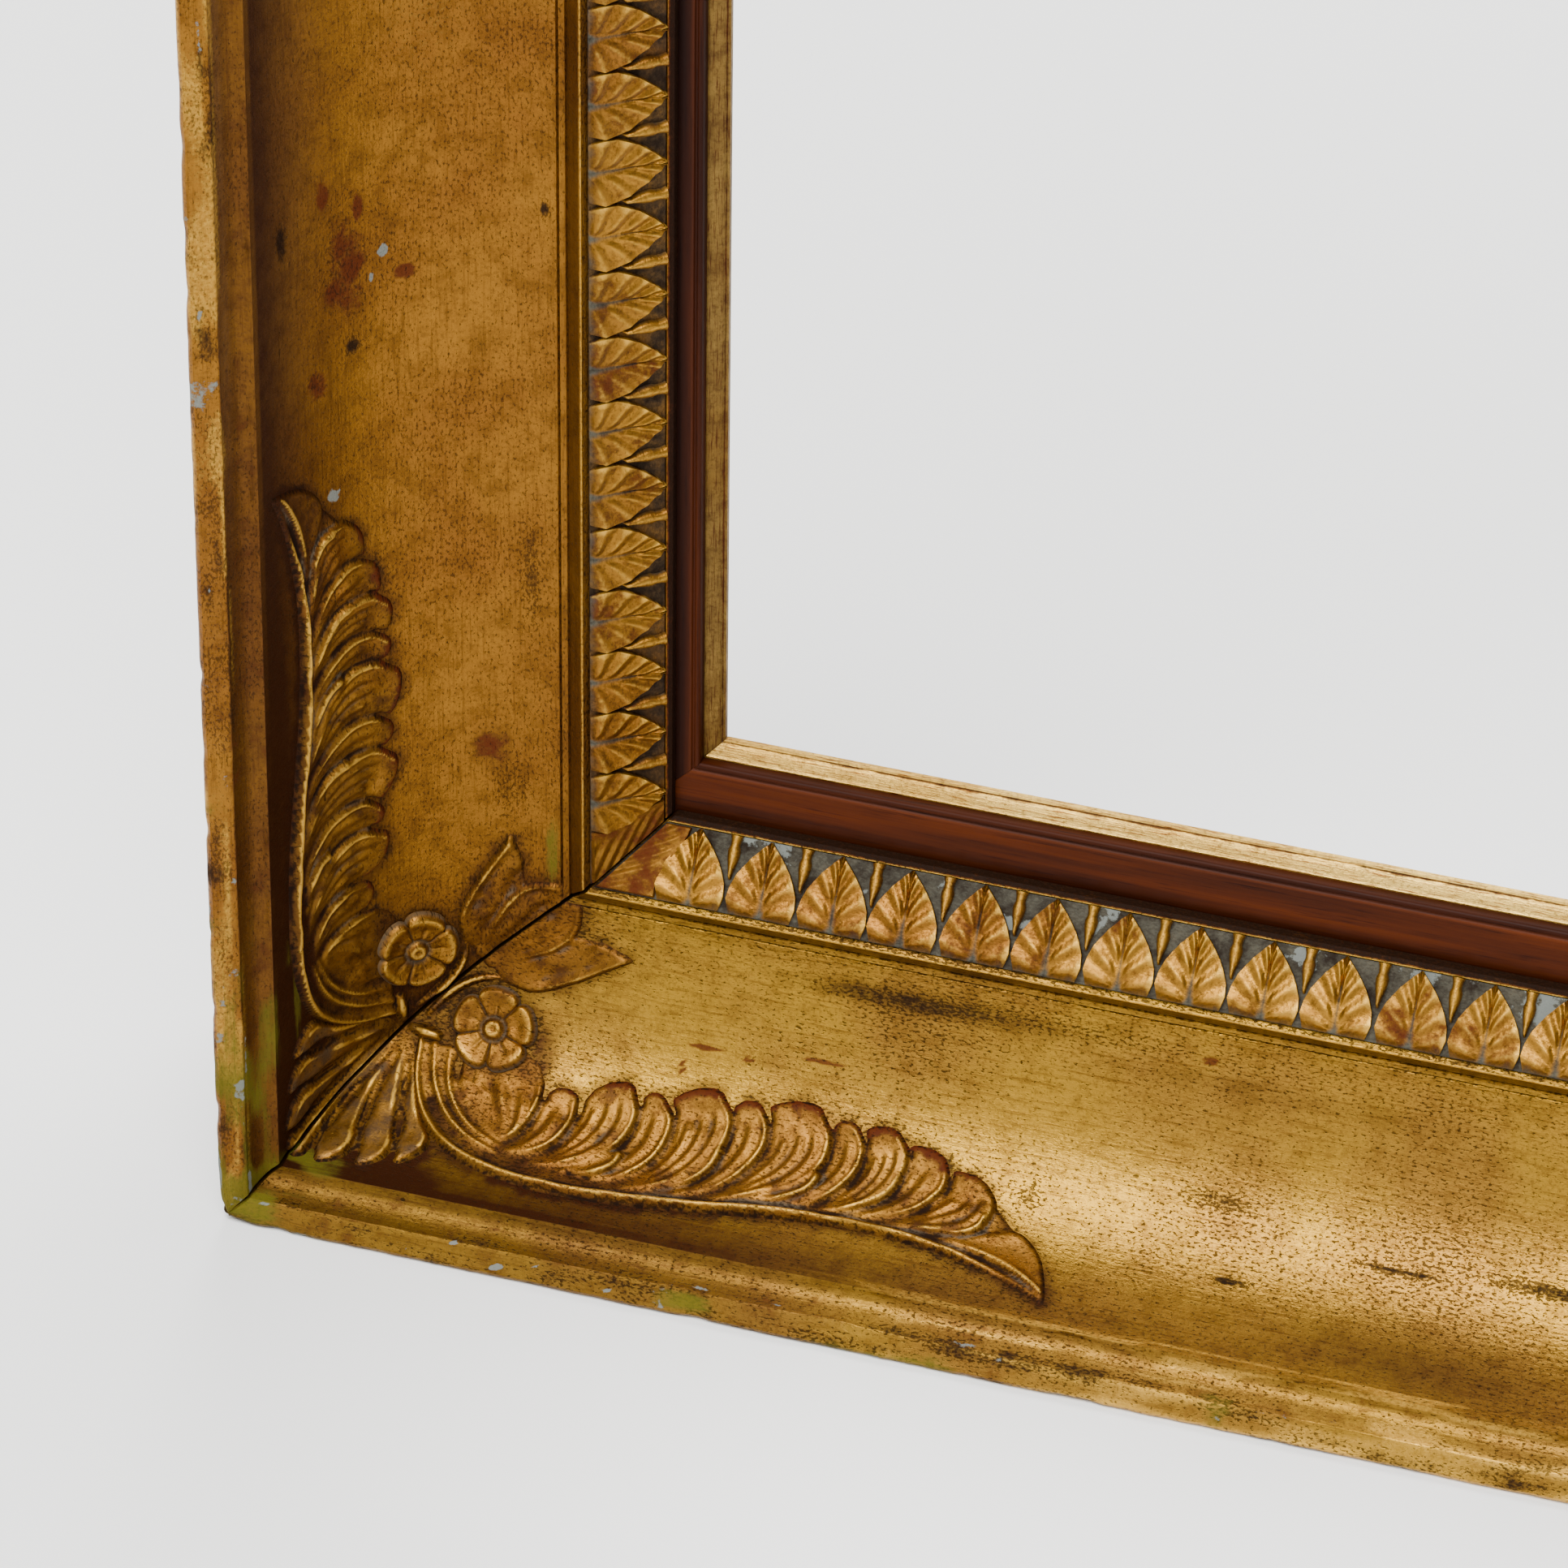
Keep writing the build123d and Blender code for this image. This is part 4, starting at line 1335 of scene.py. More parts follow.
# Marks of each side, by the end whose corner their lengths start from.
MARKS = {
    (Side.LEFT, 1): (
        Mark(235, 31.5, (13, 6.0), "bole", 0.36), Mark(237, 30, (12, 5.0), "stain", 0.20),
        Mark(255.5, 26, (4.0, 2.0), "bole", 0.45), Mark(249, 35, (3.5, 1.1), "bole", 0.50),
        Mark(230, 45.5, (2.2, 3.0), "bole", 0.50), Mark(236.5, 40.8, (2.0, 1.5), "chip", 0.70),
        Mark(230.5, 38, (1.8, 1.1), "chip", 0.65), Mark(215, 33, (2.4, 2.2), "stain", 0.75),
        Mark(249, 13.2, (5.5, 2.2), "stain", 0.60), Mark(208.5, 23.4, (4.5, 3.2), "bole", 0.40),
        Mark(208.5, 23, (4.2, 2.8), "stain", 0.34), Mark(245, 76, (2.6, 1.2), "stain", 0.75),
        Mark(149, 72.5, (15, 2.6), "stain", 0.35), Mark(178.5, 27, (1.8, 2.6), "chip", 0.60),
        Mark(103, 63.5, (6.0, 5.0), "bole", 0.32), Mark(103, 63.5, (6.0, 5.0), "tone", 0.25),
        Mark(92, 67, (9.0, 4.0), "stain", 0.24), Mark(76, 76.8, (10, 2.0), "green", 0.62),
        Mark(300, 50, (30, 12), "rub", 0.25), Mark(310.5, -5.6, (5.0, 1.6), "chip", 0.50),
        Mark(242.5, -4.1, (2.4, 1.2), "chip", 0.55),
    ),
    (Side.BOTTOM, -1): (
        Mark(98.5, 50.5, (5.0, 0.7), "bole", 0.60), Mark(94, 46, (1.0, 3.0), "bole", 0.50),
        Mark(126, 53, (6.5, 0.7), "bole", 0.60), Mark(108.5, 50, (1.6, 1.0), "bole", 0.60),
        Mark(140, 70.5, (22, 2.6), "stain", 0.34), Mark(172, 72.5, (34, 3.0), "stain", 0.26),
        Mark(150, 71, (34, 3.5), "tone", 0.45), Mark(140, 60, (40, 10), "stain", 0.12),
        Mark(213, 71.2, (2.2, 1.1), "bole", 0.50), Mark(230, 66, (40, 3.0), "tone", 0.20),
        Mark(178, 33, (3.0, 4.0), "stain", 0.35), Mark(220, 40, (9.0, 2.2), "stain", 0.36),
        Mark(262, 32.6, (10, 0.9), "stain", 0.55), Mark(295, 35, (13, 2.0), "stain", 0.50),
        Mark(227, 22.5, (5.0, 1.2), "stain", 0.55), Mark(270, 14, (32, 9.0), "tone", 0.36),
        Mark(285, 10, (8.0, 5.0), "chip", 0.18), Mark(62, 42, (3.0, 6.0), "tone", 0.60),
        Mark(109.5, -4.8, (7.5, 2.8), "green", 0.75), Mark(112, -5.2, (2.6, 0.8), "chip", 0.60),
        Mark(92, -4.4, (1.6, 0.9), "chip", 0.65), Mark(75, -5.6, (1.5, 0.9), "chip", 0.65),
        Mark(55.5, -7.5, (1.6, 1.1), "chip", 0.65), Mark(66, -4.0, (1.4, 0.9), "chip", 0.65),
    ),
}


@dataclass
class LeafStrip:
    """Pressed leaf-and-dart strip on the sloping bed of one moulding, in millimetres.

    Attributes:
        rail: the side.
        section: the moulding.
        material: its finish.
        pitch: distance from leaf to leaf, before whole leaves are fitted to the side.
        margin: from the outer corner to the middle of the first leaf.
        height: height of a leaf.
        half: half the width of a leaf.
        dart_length: length of a dart.
        dart_height: height of a dart.
        thick: how far the ground of the strip lies in front of the bed.
        inset: distance that leaves keep from the edges of the bed.
        sunk: how deep the edges of leaves and darts lie in the ground.
    """

    rail: Rail
    section: CoveMoulding
    material: Material
    pitch: float = 16.5
    margin: float = 92.0
    height: float = 1.9
    half: float = 8.2
    dart_length: float = 10.3
    dart_height: float = 1.7
    thick: float = 1.2
    inset: float = 0.3
    sunk: float = 0.4

    def __post_init__(self) -> None:
        """Finds the directions of the bed, and the edge of the leaves that is painted brighter as painted
        highlight.
        """
        high, low = np.array(self.section.bed_high), np.array(self.section.bed_low)
        self.length = float(np.linalg.norm(low - high))
        self.slope = (low - high) / self.length
        self.lift = np.array([-self.slope[1], self.slope[0]])
        self.start = high + np.array([0, self.thick])
        self.tip = self.length - self.inset
        self.painted_highlight_side = 1 if self.rail.side in (Side.BOTTOM, Side.RIGHT) else -1

    def build(self) -> None:
        """Builds the ground, whole leaves with darts between them, and half leaves at the mitres."""
        rail = self.rail
        piece = Sculpt(f"pressed_leaf_strip_{rail.side.value}")
        normal = rail.inward * self.lift[0] + FRONT * self.lift[1]

        def lay(columns: int, rows: int, shape: Callable[..., Skin], *where: float) -> None:
            """Lays one grid at a place on the strip."""
            piece.lay(columns, rows, lambda u, v: shape(u, v, *where), lambda place: normal)

        lay(round(rail.half / 3), 8, self.ground)
        length = 2 * (rail.half - self.margin)
        spaces = round(length / self.pitch)
        pitch = length / spaces
        for number in range(spaces + 1):
            middle = self.margin - rail.half + number * pitch
            sway = float(patchy(number * 7.3, 3.0, 1.0, 5)) - 0.5
            lay(12, 12, self.leaf, middle, sway)
            if number < spaces:
                lay(6, 9, self.dart, middle + pitch / 2)
        for end in (-1, 1):
            lay(12, 12, self.half_leaf, end)
            piece.trim(*self.section.mitre(rail, end))
        piece.finish(self.material, "gilded_composition", f"leaf_strip_{rail.side.value}", crisp=75)

    @staticmethod
    def on_edge(u: Array, v: Array) -> Array:
        """Which vertices lie on the edge of a grid."""
        return np.maximum(np.abs(u - 0.5), np.abs(v - 0.5)) > 0.4999

    def on_bed(self, along: Array, down: Array, height: Values) -> dict[str, Array]:
        """Places on or above the ground of the strip.

        Args:
            along: from the middle of the side.
            down: from the upper edge of the bed.
            height: how far above the ground.

        Returns:
            Places and flat places, as a skin takes them.
        """
        inward, forward = (self.start[i] + self.slope[i] * down + self.lift[i] * height for i in (0, 1))
        return {"places": self.rail.place(along, inward, forward), "flats": np.stack([along, down], 1) * MM}

    def ground(self, u: Array, v: Array) -> Skin:
        """Turns a grid into the ground of the strip.

        Args:
            u: shares along the side.
            v: shares down the bed.

        Returns:
            The skin of each vertex.
        """
        down = 0.2 + v * (self.length - 0.4)
        inward = self.start[0] + self.slope[0] * down
        along = (2 * u - 1) * (self.rail.half - inward - self.section.end_gap)
        dust, pale = 0.5, 0.0
        if not self.rail.upright:
            dust, pale = 0.9, 0.48 * ease(0.50, 0.80, patchy(along + 700, down, 9, 31)) * ease(0.35, 0.6, v)
        return Skin(**self.on_bed(along, down, 0.0), tone=0.6, dust=dust, chip=pale, stain=0.46)

    def leaf(self, u: Array, v: Array, middle: float, sway: float) -> Skin:
        """Turns a grid into a leaf.

        Args:
            u: shares across it.
            v: shares from its base to its tip.
            middle: its place along the side.
            sway: how far it leans and differs from its neighbours, from -0.5 to 0.5.

        Returns:
            The skin of each vertex.
        """
        x, y = np.clip(u * 2.4 - 1.2, -1, 1), np.clip(v * 1.2 - 0.1, 0, 1)
        low = self.on_edge(u, v)
        # Rows of the grid are ribs, which climb from the midrib to a higher place on the edge.
        side, rib_root, rib_end = np.abs(x), y**1.5, 1 - (1 - y) ** 2
        up = rib_root + (rib_end - rib_root) * side
        taper = 1 - np.clip((rib_end - 0.15) / 0.85, 0, 1) ** 1.9
        half = np.maximum(self.half * (0.86 + 0.14 * ease(0, 0.25, rib_end)) * taper, 0.25)
        form = 0.62 + 0.16 * np.sin(math.pi * side) + 0.12 * ease(0.75, 1.0, side) + 0.06 * ease(0.6, 1.0, x)
        form -= 0.12 * np.cos(2 * LEAF_RIBS * math.pi * y) * ease(0.1, 0.35, side)
        midrib = bell(x, 0.13) * (1 - ease(0.6, 0.85, up))
        form += 0.14 * ease(0.75, 0.95, up) - 0.35 * (1 - ease(0.0, 0.12, up)) - 0.24 * midrib
        along, down = middle + x * half + 0.5 * sway, self.inset + up * (self.tip - self.inset)
        # Leaves are brighter on their high parts as rubbed leaf and painted highlight, and along one edge as
        # painted highlight.
        rubbed = 0.35 * ease(0.72, 0.95, form) + 0.5 * ease(0.75, 1.0, self.painted_highlight_side * x)
        return Skin(
            **self.on_bed(along, down, np.where(low, -self.sunk, form * self.height)),
            tone=(0.2 if self.rail.upright else 0.05) + 0.25 * (1 - ease(0.05, 0.35, up)) + 0.3 * sway,
            dust=np.where(low, 0.5, np.clip(1.0 - form * 1.6, 0, 1) + 0.25 * midrib),
            rub=np.where(low, 0.0, rubbed),
            bole=0.2 + 0.25 * sway,
            stain=np.where(low, 0.5, 0.1 + 0.3 * midrib),
            leaf=np.stack([x, y], 1),
        )

    def dart(self, u: Array, v: Array, middle: float) -> Skin:
        """Turns a grid into a dart that hangs from the lip.

        Args:
            u: shares across it.
            v: shares from its point to the lip.
            middle: its place along the side.

        Returns:
            The skin of each vertex.
        """
        low = self.on_edge(u, np.minimum(v, 0.5))
        x = np.clip(u * 2.8 - 1.4, -1, 1)
        half = 0.3 + 1.15 * ease(0.0, 0.66, v) - 0.5 * ease(0.68, 0.82, v) + 0.55 * ease(0.84, 0.97, v)
        form = 0.35 + 0.65 * np.sqrt(1 - 0.9 * x * x)
        down = self.tip + 0.1 + self.dart_length * (v - 1)
        return Skin(
            **self.on_bed(middle + x * half, down, np.where(low, -self.sunk, form * self.dart_height)),
            tone=0.2,
            dust=np.where(low, 0.6, 0.3 * np.abs(x)),
            rub=np.where(low, 0.0, 0.5 * ease(0.7, 1.0, form)),
            bole=0.2,
            stain=0.2,
        )

    def half_leaf(self, u: Array, v: Array, end: int) -> Skin:
        """Turns a grid into the ribbed half leaf beside a mitre.

        Args:
            u: shares from the mitre to its edge.
            v: shares from its base to its tip.
            end: -1 or 1, the end of the side.

        Returns:
            The skin of each vertex.
        """
        low = self.on_edge(u, v)
        x, y = np.clip(u * 1.16 - 0.08, 0, 1), np.clip(v * 1.14 - 0.07, 0, 1)
        down = self.inset + y * (self.tip - self.inset)
        first = self.start[0] + self.slope[0] * down - 0.4
        last = np.maximum(self.margin - self.half + 0.4 + 5.4 * ease(0.2, 1.0, y), first + 0.6)
        along = end * (self.rail.half - first - (last - first) * x)
        form = 0.66 + 0.16 * np.sin(math.pi * x) + 0.14 * ease(0.8, 1.0, x)
        return Skin(
            **self.on_bed(along, down, np.where(low, -self.sunk, form * self.height * 0.9)),
            tone=0.45,
            dust=np.where(low, 0.5, np.clip(1.0 - form * 1.6, 0, 1)),
            rub=np.where(low, 0.0, 0.4 * ease(0.74, 0.95, form)),
            bole=0.3,
            stain=np.where(low, 0.5, 0.0),
            leaf=np.stack([1.0 - x, y - 0.4 * x], 1),
        )


@dataclass
class GildedFrame:
    """The four mouldings with their leaf strips and corner ornament.

    Attributes:
        rails: the four sides.
        section: the moulding.
        ornament: what lies at the ends of each rail.
        rail_finish: finish of the upper and lower mouldings.
        stile_finish: finish of the upright mouldings, which are browner, partly as painted shade.
        ornament_finish: finish of the ornament.
        leaf_finish: finish of the leaf strips.
        fine_end: length of each end that carries ornament and marks.
        fine_step: distance between cross-sections there.
        coarse_step: distance between cross-sections elsewhere.
        halo_reach: how far from the ornament places are measured for the darkening round it.
    """

    rails: dict[Side, Rail]
    section: CoveMoulding
    ornament: CornerOrnament
    rail_finish: Material
    stile_finish: Material
    ornament_finish: Material
    leaf_finish: Material
    fine_end: float = 290.0
    fine_step: float = 1.6
    coarse_step: float = 4.0
    halo_reach: float = 6.0

    CORNERS = {
        "bottom_left": ((Side.BOTTOM, -1), (Side.LEFT, 1)),
        "bottom_right": ((Side.RIGHT, -1), (Side.BOTTOM, 1)),
        "top_right": ((Side.TOP, -1), (Side.RIGHT, 1)),
        "top_left": ((Side.LEFT, -1), (Side.TOP, 1)),
    }

    def build(self) -> None:
        """Builds every gilded piece."""
        self.spray, self.fan, self.sprigs = self.ornament.spray(), self.ornament.fan(), self.ornament.sprigs()
        for rail in self.rails.values():
            self.build_moulding(rail)
            LeafStrip(rail, self.section, self.leaf_finish).build()
        for corner, ends in self.CORNERS.items():
            for side, end in ends:
                half = f"spray_{corner}_{side.value}"
                self.build_relief(f"carved_{half}", half, [(side, end)], self.spray)
            self.build_relief(f"carved_fan_{corner}", f"corner_fan_{corner}", ends, self.fan)
            self.build_relief(f"carved_sprigs_{corner}", f"leaf_sprigs_{corner}", ends, self.sprigs)
            self.build_rosettes(corner, ends)

    def build_relief(self, name: str, node: str, ends: Sequence[tuple[Side, int]], relief: Relief) -> None:
        """Builds a piece of ornament on one or both sides of a mitre.

        Args:
            name: name of the piece.
            node: CAD node that it stands for.
            ends: rail ends that it lies on.
            relief: its shape.
        """
        piece = Sculpt(name)
        for side, end in ends:
            rail = self.rails[side]
            half = Sculpt(f"{name}_half")
            half.lay(
                relief.columns, relief.rows,
                lambda u, v: relief.skin(self.section, rail, end, u, v),
                lambda place: self.section.away(rail, place),
            )
            half.trim(*self.section.mitre(rail, end))
            piece.take(half)
        piece.finish(self.ornament_finish, "gilded_composition", node, crisp=75)

    def build_rosettes(self, corner: str, ends: Sequence[tuple[Side, int]]) -> None:
        """Builds the pair of five-petal rosettes of a corner.

        Args:
            corner: name of the corner.
            ends: the two rail ends.
        """
        piece = Sculpt(f"carved_rosettes_{corner}")
        size, high = self.ornament.rosette_radius, self.ornament.rosette_height
        for side, end in ends:
            rail = self.rails[side]

            def shape(u: Array, v: Array) -> Skin:
                """Turns a grid into a rosette.

                Args:
                    u: shares round it.
                    v: shares from its middle to its rim.

                Returns:
                    The skin of each vertex.
                """
                turn = 2 * math.pi * u - math.pi / 2
                petal = np.abs((self.ornament.petals * u) % 1.0 - 0.5) * 2
                radius = size * (1 - 0.17 * petal**5) * np.clip(v * 1.06, 0, 1)
                share = radius / size
                form = 0.72 + 0.20 * ease(0.5, 0.88, share)
                form -= 0.28 * ease(0.91, 1.0, petal) * ease(0.22, 0.4, share)
                form -= 0.11 * bell(petal, 0.15) * ease(0.25, 0.4, share) * (1 - ease(0.55, 0.75, share))
                form -= 0.28 * bell(share - 0.285, 0.05)
                form += 0.30 * np.exp(-((share / 0.21) ** 6)) - 0.20 * bell(share, 0.11)
                form *= 1 - 0.55 * ease(0.90, 1.0, v * 1.06)
                low = v > 0.999
                along = self.ornament.rosette[0] + radius * np.cos(turn)
                span = self.ornament.rosette[1] + radius * np.sin(turn)
                soiled = 0.1 + 0.4 * ease(0.3, 0.8, patchy(along + 13 * end, span, 6, 9))
                worn = 0.0 if rail.upright else soiled
                return Skin(
                    places=self.section.on_cove(rail, end, along, span, np.where(low, -0.7, form * high)),
                    flats=np.stack([along, span], 1) * MM,
                    tone=worn,
                    dust=np.where(low, 0.6, np.clip(1.45 - form * 1.75, 0.15, 1)),
                    rub=(0.7 - worn) * ease(0.78, 0.96, form),
                    bole=0.25 * patchy(along, span, 5, 8),
                )

            piece.lay(90, 22, shape, lambda place: self.section.away(rail, place))
        bmesh.ops.remove_doubles(piece.mesh, verts=piece.mesh.verts[:], dist=20 * WELD)
        piece.finish(self.ornament_finish, "gilded_composition", f"rosettes_{corner}", crisp=75)

    def stations(self, half: float) -> Array:
        """Places of the cross-sections along a rail, close together near the ornament.

        Args:
            half: half the length of the rail.

        Returns:
            Shares of the half length, from -1 to 1.
        """
        fine = np.arange(0, self.fine_end, self.fine_step)
        coarse = np.linspace(self.fine_end, half, max(2, round((half - self.fine_end) / self.coarse_step)))
        right = half - np.concatenate([fine, coarse])
        return np.concatenate([-right[:-1], right[::-1]]) / half

    def build_moulding(self, rail: Rail) -> None:
        """Builds one gilded moulding.

        Args:
            rail: the side.
        """
        outline, spans = self.section.outline()
        stations = self.stations(rail.half)
        lengths = lengths_of(outline)
        columns, rows = len(stations) - 1, len(outline) - 1
        seed = list(Side).index(rail.side) * 7

        def shape(u: Array, v: Array) -> Skin:
            """Turns a grid into the moulding.

            Args:
                u: shares along it.
                v: shares round its section.

            Returns:
                The skin of each vertex.
            """
            i, j = np.rint(u * columns).astype(int), np.rint(v * rows).astype(int)
            inward, forward, span = outline[j, 0], outline[j, 1], spans[j]
            along = stations[i] * (rail.half - self.section.end_gap - inward)
            corner = rail.half - np.abs(along)
            # The rim is dented by handling, and its corner is worn round.
            dent = 0.7 * ease(0.62, 0.95, patchy(along + 900, lengths[j], 7, seed))
            dent = dent + 0.25 * patchy(along + 300, lengths[j], 3, seed + 1)
            worn = np.where((forward > 80) & (inward < 11), dent, 0.0)
            round_off = 3.0 * np.exp(-np.maximum(corner, 0) / 3.5) * np.exp(-inward / 2.5) * (forward > 60)
            skin = self.moulding_skin(rail, along, inward, forward, span)
            pushed_in = np.where(inward < 1.2, 0.35 * worn, 0) + round_off
            skin.places = rail.place(along, inward + pushed_in, forward - 0.7 * worn - 0.4 * round_off)
            skin.flats = np.stack([along, lengths[j]], 1) * MM
            return skin

        piece = Sculpt(f"gilded_moulding_{rail.side.value}")
        piece.lay(columns, rows, shape)
        piece.close()
        finish = self.stile_finish if rail.upright else self.rail_finish
        piece.finish(finish, "gilded_wood", f"moulding_{rail.side.value}", crisp=32)

    def moulding_skin(self, rail: Rail, along: Array, inward: Array, forward: Array, span: Array) -> Skin:
        """Wear of a moulding at places on its surface.

        Args:
            rail: the side.
            along: from the middle of the rail.
            inward: from the outer edge.
            forward: from the back.
            span: round the cove, below zero outside it.

        Returns:
            A skin without places.
        """
        corner = rail.half - np.abs(along)
        seed = list(Side).index(rail.side) + 3
        upright = rail.upright
        cove = span >= 0
        zone = self.section.zones(inward, forward)
        rim, edges = zone["rim"], zone["rim"] | zone["step"]
        down = inward - np.minimum(forward, 90.5) + 90.5
        halo = np.where(cove, self.halo(corner, span), 0.0)
        skin = Skin(np.zeros((len(along), 3)), np.zeros((len(along), 2)))
        # Brown toning lies under the rim, in the steps and toward the mitres; under the rim and on the
        # upright sides it is made stronger as painted shade.
        reach = (25 if upright else 19) + 5 * patchy(along + 1000, span, 30, seed)
        deep = (0.8 if upright else 0.5) * (1 - ease(2, reach, span)) + (0.14 if upright else 0.0)
        tone = np.where(cove, deep, 0.15)
        tone = np.where(zone["step"], 0.6 if upright else 0.3, tone)
        tone = np.where(zone["rise"], 0.25 if upright else 0.1, tone)
        under_rim = (1 - ease(4, 22, span)) * (1 - ease(110, 210, corner))
        at_mitre = (1 - ease(36, 54, corner)) * (1 - ease(50, 64, span))
        tone = tone + np.where(cove, 0.35 * (under_rim + at_mitre), 0.0)
        dull = 0.0 if upright else 0.32 * (1 - ease(80, 190, corner))
        skin.tone = tone + 0.5 * halo + np.where(edges, dull, 0.0)
        skin.dust = 0.12 * halo + np.where(zone["outside"], 0.2, 0.0)
        # Green overpaint was daubed round the outer corner and in patches on the rim.
        uneven = patchy(along + 500, down * 3, 12, seed + 9)
        daub = (1 - ease(4, 120 if upright else 45, corner)) * ease(0.3, 0.75, uneven)
        daub = np.where(zone["outer"], daub * np.where(forward > 70, 0.85, 0.4), 0.0)
        patch = ease(0.80, 0.95, patchy(along + 77, down, 16, seed + 4)) * (corner < 250)
        skin.green = np.maximum(daub, np.where(rim, 0.55 * patch, 0.0))
        # Hands and cloths have rubbed the crest, the lip and the rim; the bright crest and lip lines,
        # stronger on the upper and lower rails, are also painted highlight.
        polish = 1.0 if upright else 0.2 + 0.8 * ease(90, 200, corner)
        handled = ease(0.4, 0.7, patchy(along * 0.4, down * 4, 9, seed + 5))
        streak = 0.0 if upright else ease(0.52, 0.68, patchy(along * 0.3, down * 3.5, 7, seed + 11))
        skin.rub = (
            np.where(zone["crest"], 0.5 if upright else 0.8, 0.0)
            + np.where(zone["lip"], 0.3 if upright else 0.6, 0.0)
            + np.where(rim, 0.5 * polish * handled, 0.0)
            + np.where(edges, 0.55 * polish * streak, 0.0)
        )
        # Dirt fills the incised lines and the corner at the bed's edge, and the cove is darker round the
        # ornament; the sight wall is painted dark as painted shade.
        smear = ease(0.45, 0.75, patchy(along + 60, down * 3, 8, seed + 6))
        skin.stain = (
            np.where(zone["lines"], 0.4 if upright else 0.6, 0.0)
            + np.where(zone["bed_edge"], 0.3, 0.0)
            + np.where(zone["sight_wall"], 0.7, 0.0)
            + 0.55 * halo * patchy(along, span, 4, seed + 12)
            + np.where(rim, 0.40 * smear, 0.0)
        )
        # Gesso shows where the rim is chipped, and red bole where the leaf is thin; the sight wall is painted
        # red-brown as part of its painted shade.
        loss = ease(0.66, 0.88, patchy(along * 0.7 + 31, down * 2, 6, seed + 7))
        knocked = (1 - ease(8, 60, corner)) * ease(0.45, 0.8, uneven)
        skin.chip = np.where(rim, 0.36 * loss + 0.3 * knocked, 0.0)
        thin = np.where(cove, 0.10 * patchy(along, span, 40, seed + 8), 0.16)
        skin.bole = thin + np.where(zone["sight_wall"], 0.8, 0.0)
        middle = np.where(cove, span, np.where(rim, -1 - down, -99.0))
        for end in (-1, 1):
            for mark in MARKS.get((rail.side, end), ()):
                far = ((rail.half - end * along - mark.along) / mark.reach[0]) ** 2
                far = far + ((middle - mark.span) / mark.reach[1]) ** 2
                setattr(skin, mark.kind, getattr(skin, mark.kind) + mark.depth * np.exp(-(far**2)))
        return skin

    def halo(self, corner: Array, span: Array) -> Array:
        """Darkening of the cove round the ornament.

        Args:
            corner: length from the outer corner.
            span: length round the cove.

        Returns:
            1 against the ornament, fading to 0 away from it.
        """
        middle = self.ornament.rosette
        ring = np.hypot(corner - middle[0], span - middle[1]) - self.ornament.rosette_radius
        result = 1 - ease(0.3, 3.2, ring)
        reach = self.halo_reach
        for relief in (self.spray, self.fan, self.sprigs):
            solid = relief.height > 0.1
            # Every seventh place of the relief is close enough to measure from.
            raised = np.stack([relief.along[solid], relief.span[solid]], 1)[::7]
            close = (corner > relief.low[0] - reach) & (corner < relief.high[0] + reach)
            close &= (span > relief.low[1] - reach) & (span < relief.high[1] + reach)
            near = np.flatnonzero(close)
            for pick in np.array_split(near, len(near) // 1500 + 1):
                gap = np.hypot(corner[pick, None] - raised[:, 0], span[pick, None] - raised[:, 1]).min(1)
                result[pick] = np.maximum(result[pick], 1 - ease(0.6, 3.4, gap))
        return result


